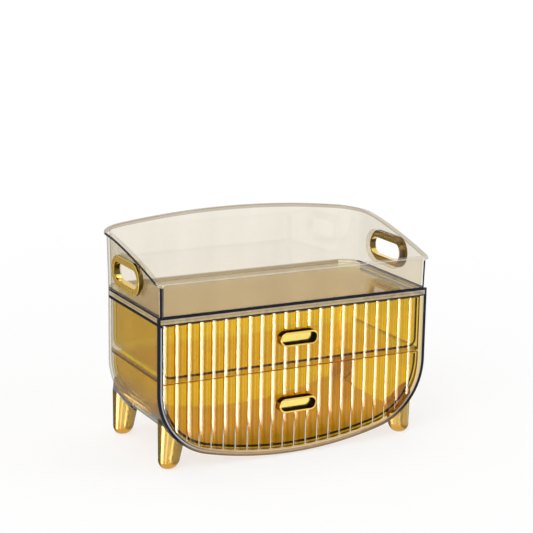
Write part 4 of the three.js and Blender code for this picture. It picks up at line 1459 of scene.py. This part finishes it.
# Legs, pads, shelf and screws

PAD_SLOTS = ("pad_plastic", "pad_side", "pad_back")


class ORGANIZER_OT_legs(Operator):
    """Builds the four plated legs with their clear pads"""
    bl_idname = "organizer.legs"
    bl_label = "Legs and pads"

    def execute(self, context):
        leg = context.scene.organizer_legs
        for end, rearward in (("front", -1), ("rear", 1)):
            for side, outward in SIDES:
                self.leg(f"{end}_{side}", leg, outward, rearward)
                self.pad(f"{end}_{side}", leg, rearward)
                paint_node(f"leg_screw_{end}_{side}", "zinc_steel")
        return {"FINISHED"}

    def leg(self, label, leg, outward, rearward):
        """A peg with a rounded tip, upright on its outer side and cut along the shell's corner."""
        size = body()
        widening = (leg.root_radius - leg.tip_radius) / leg.taper
        bm = bmesh.new()
        vert = step_from(bm, bm.verts.new((0, 0, 0)), (leg.tip_blunt, 0, 0))
        known = set(bm.verts)
        vert = turn_from(bm, vert, (leg.tip_blunt, 0, leg.tip_round), -Y, QUARTER, steps=10)
        spread = leg.tip_radius + widening * leg.tip_round - leg.tip_blunt
        bmesh.ops.scale(bm, verts=[arc for arc in bm.verts if arc not in known],
                        vec=(spread / leg.tip_round, 1, 1),
                        space=Matrix.Translation((-leg.tip_blunt, 0, 0)))
        rise = leg.height - leg.tip_round
        vert = step_from(bm, vert, (widening * rise, 0, rise))
        step_from(bm, vert, (-vert.co.x, 0, 0))
        bmesh.ops.spin(bm, geom=[*bm.verts, *bm.edges], cent=(0, 0, 0), axis=Z, dvec=(0, 0, 0),
                       angle=2 * math.pi, steps=48, space=Matrix.Identity(4), use_merge=True,
                       use_normal_flip=False, use_duplicate=False)
        tidy(bm)
        lean = Matrix(((1, 0, -outward * widening, 0), (0, 1, 0, 0), (0, 0, 1, 0), (0, 0, 0, 1)))
        stand = Matrix.Translation((outward * (size.width / 2 - leg.side_setback - leg.tip_radius),
                                    DEPTH_SHIFT + rearward * (size.depth / 2 - leg.end_setback), 0))
        bmesh.ops.transform(bm, matrix=stand @ lean, verts=bm.verts)
        piece = object_from(f"peg_{label}", bm, ("satin_gold",))
        under_pad = size.lip_proud - leg.pad - 2 * drawers().seat_gap
        shell = outline_prism(under_pad, front_y() - OVERSHOOT, rear_y() + OVERSHOOT, size.seam)
        combine(piece, shell, "DIFFERENCE")
        smooth_below(piece.data, 35)
        seat(piece, "housing", "gold_plate", f"leg_{label}")

    def pad(self, label, leg, rearward):
        """A smooth copy of the CAD pad. Its thin rim takes painted shade and shows as a dark seam over the
        leg, and its upper face is dull. A rear pad's rim stays clear behind."""
        bm = bmesh.new()
        bm.from_mesh(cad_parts[f"leg_pad_{label}"].data)
        bmesh.ops.remove_doubles(bm, verts=bm.verts, dist=MERGE)
        bmesh.ops.dissolve_limit(bm, angle_limit=math.radians(0.2), verts=bm.verts, edges=bm.edges)
        pad = object_from(f"pad_{label}", bm, PAD_SLOTS)
        smooth_below(pad.data, 40)
        low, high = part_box(pad.name.replace("pad_", "leg_pad_"))
        centre = (low + high) / 2
        for face in pad.data.polygons:
            normal, away = face.normal, (face.center - centre).xy
            behind = rearward > 0 and (normal.y > 0.35 or away.y > leg.pad_rear)
            faces_out = normal.xy.length > 0.3 and normal.xy.normalized().dot(away.normalized()) > 0.8
            if faces_out and not behind and abs(normal.z) < 0.75 and away.length > leg.pad_core:
                face.material_index = PAD_SLOTS.index("pad_side")
            elif normal.z > 0.3:
                face.material_index = PAD_SLOTS.index("pad_back")
        seat(pad, "housing", "pad_plastic", f"leg_pad_{label}")


class ORGANIZER_OT_fittings(Operator):
    """Finishes the shelf and the screws, which keep their solids"""
    bl_idname = "organizer.fittings"
    bl_label = "Shelf and screws"

    def execute(self, context):
        paint_node("mid_shelf", "shelf_plastic")
        for level in ("upper", "lower"):
            for side, _ in SIDES:
                paint_node(f"{level}_pull_screw_{side}", "zinc_steel")
        return {"FINISHED"}


# Stage

# Lamps: place, width and height in metres, and power in watts
LAMPS = (
    ("key", (-1.6, -1.5, 2.2), 1.6, 1.6, 32),
    ("fill", (2.2, -1.2, 1.2), 1.2, 1.6, 12),
    ("top", (0.1, 0.4, 2.4), 2.0, 1.4, 16),
)

# Cards that only reflections see: azimuth from the front towards the right, elevation, width and
# height in degrees, brightness, and distance in metres
CARDS = (
    ("front_strip", -11, -16.5, 13, 7, 19, 6),
    ("warm_strip", 0, -16.5, 10, 7, 6, 6),
    ("left_strip", -104, -24, 18, 22, 7, 6),
    ("side_strip", -60, -26, 8, 22, 2.5, 6),
    ("low_card", 60, -40, 110, 24, 0.4, 8),
    ("near_card", 11, -16, 11, 12, 0.25, 8),
    ("far_card", 63, -16, 38, 12, 0.25, 8),
    ("plate_card", 31, -23, 9, 8, 1.5, 6),
    ("grey_card", 180, -22, 130, 44, 0.2, 8),
)


class ORGANIZER_OT_stage(Operator):
    """Sets up the floor, the lamps, the world and the camera"""
    bl_idname = "organizer.stage"
    bl_label = "Stage"

    def execute(self, context):
        stage = context.scene.organizer_stage
        self.camera(context, stage)
        self.floor(stage)
        self.world(context, stage)
        for lamp in LAMPS:
            self.lamp(context, stage, *lamp)
        for card in CARDS:
            self.card(*card)
        context.scene.view_settings.view_transform = "Standard"
        context.scene.cycles.transparent_max_bounces = 40
        return {"FINISHED"}

    def camera(self, context, stage):
        data = bpy.data.cameras.new("camera")
        data.lens, data.sensor_width = stage.lens, 36
        data.shift_x, data.shift_y = -0.5 / PHOTO_SIDE, 0.5 / PHOTO_SIDE
        data.clip_start, data.clip_end = 0.05, 60
        camera = bpy.data.objects.new("camera", data)
        context.scene.collection.objects.link(camera)
        stand, target = Vector(stage.camera_place), Vector(stage.camera_target)
        turn = (target - stand).to_track_quat("-Z", "Y").to_matrix().to_4x4()
        camera.matrix_world = Matrix.Translation(stand) @ turn @ Matrix.Rotation(stage.camera_roll, 4, "Z")
        context.scene.camera = camera

    def floor(self, stage):
        """Pale paper with the object's shadow, which the camera sees as white far from the object."""
        bm = bmesh.new()
        bmesh.ops.create_grid(bm, x_segments=1, y_segments=1, size=stage.floor_size / 2)
        tree = new_material("floor_paper")
        paper = tree.uneven(tree.noise(3, 2), finishes().floor, 0.995, 1.005)
        face = tree.shader("BsdfDiffuse", {"Color": paper})
        glow = tree.shader("Emission", {"Color": WHITE, "Strength": stage.floor_glow})
        here = tree.add("TexCoord").outputs["Object"]
        away = tree.add("VectorMath", {0: here}, operation="LENGTH").outputs["Value"]
        seen = tree.seen_by("Is Camera Ray", "Is Transmission Ray")
        share = tree.math("MULTIPLY", seen, tree.spread(away, 0.68, 1, 0.3, 1.6))
        floor = object_from("floor", bm)
        floor.data.materials.append(tree.close(tree.mix(share, face, glow)))
        floor.visible_glossy = False

    def world(self, context, stage):
        """Soft light from all around, which the camera, gloss and glass see as white."""
        tree = Nodes(bpy.data.worlds.new("studio"), "OutputWorld")
        light, white = (tree.shader("Background", {"Color": WHITE, "Strength": strength})
                        for strength in (stage.world_light, 1))
        seen = tree.seen_by("Is Camera Ray", "Is Glossy Ray", "Is Transmission Ray")
        context.scene.world = tree.close(tree.mix(seen, light, white))

    def lamp(self, context, stage, name, stand, width, height, power):
        data = bpy.data.lights.new(name, "AREA")
        data.shape = "RECTANGLE"
        data.size, data.size_y, data.energy = width, height, power
        lamp = bpy.data.objects.new(name, data)
        context.scene.collection.objects.link(lamp)
        lamp.location = stand
        aim = Vector(stage.lamp_target) - Vector(stand)
        lamp.rotation_euler = aim.to_track_quat("-Z", "Y").to_euler()
        lamp.visible_camera = False

    def card(self, name, azimuth, elevation, wide, high, brightness, away):
        """A studio card far from the object, which only its reflections see."""
        half_wide, half_high = math.radians(wide / 2), math.radians(high / 2)
        bm = bmesh.new()
        bmesh.ops.create_grid(bm, x_segments=1, y_segments=1, size=away)
        bmesh.ops.scale(bm, verts=bm.verts, vec=(math.tan(half_wide), math.tan(half_high), 1))
        turn = Matrix.Rotation(math.radians(azimuth), 4, "Z")
        tilt = Matrix.Rotation(math.radians(-elevation), 4, "X")
        stand = turn @ tilt @ Matrix.Translation((0, -away, 0)) @ Matrix.Rotation(QUARTER, 4, "X")
        bmesh.ops.transform(bm, matrix=stand, verts=bm.verts)
        tree = new_material(name)
        shade = tree.uneven(tree.noise(0.5, 1), WHITE, 0.97, 1)
        material = tree.close(tree.shader("Emission", {"Color": shade, "Strength": brightness}))
        material.cycles.emission_sampling = "NONE"
        card = object_from(name, bm)
        card.data.materials.append(material)
        card.visible_camera = card.visible_diffuse = card.visible_shadow = False
        card.visible_transmission = card.visible_volume_scatter = False


# Add-on

OPERATORS = (ORGANIZER_OT_housing, ORGANIZER_OT_tray, ORGANIZER_OT_drawers, ORGANIZER_OT_pulls,
             ORGANIZER_OT_grips, ORGANIZER_OT_legs, ORGANIZER_OT_fittings, ORGANIZER_OT_stage)
SETTINGS = (("organizer_body", BodySizes), ("organizer_drawers", DrawerSizes),
            ("organizer_pulls", PullSizes), ("organizer_tray", TraySizes),
            ("organizer_grips", GripSizes), ("organizer_legs", LegSizes),
            ("organizer_finishes", Finishes), ("organizer_stage", StageSettings))


class ORGANIZER_PT_panel(Panel):
    """Lists the pieces, the stage and their settings"""
    bl_idname = "ORGANIZER_PT_panel"
    bl_label = "Vanity Drawer Organizer"
    bl_space_type = "VIEW_3D"
    bl_region_type = "UI"
    bl_category = "Organizer"

    def draw(self, context):
        for operator in OPERATORS:
            self.layout.operator(operator.bl_idname)
        for name, group in SETTINGS:
            box = self.layout.box()
            box.label(text=group.__name__)
            for key in group.__annotations__:
                box.prop(getattr(context.scene, name), key)


def register():
    for name, group in SETTINGS:
        bpy.utils.register_class(group)
        setattr(bpy.types.Scene, name, PointerProperty(type=group))
    for kind in (*OPERATORS, ORGANIZER_PT_panel):
        bpy.utils.register_class(kind)


def unregister():
    for kind in reversed((*OPERATORS, ORGANIZER_PT_panel)):
        bpy.utils.unregister_class(kind)
    for name, group in reversed(SETTINGS):
        delattr(bpy.types.Scene, name)
        bpy.utils.unregister_class(group)


def main():
    register()
    bpy.ops.organizer.housing()
    bpy.ops.organizer.tray()
    bpy.ops.organizer.drawers()
    bpy.ops.organizer.pulls()
    bpy.ops.organizer.grips()
    bpy.ops.organizer.legs()
    bpy.ops.organizer.fittings()
    bpy.ops.organizer.stage()
    bpy.context.view_layer.update()


if __name__ == "__main__":
    main()
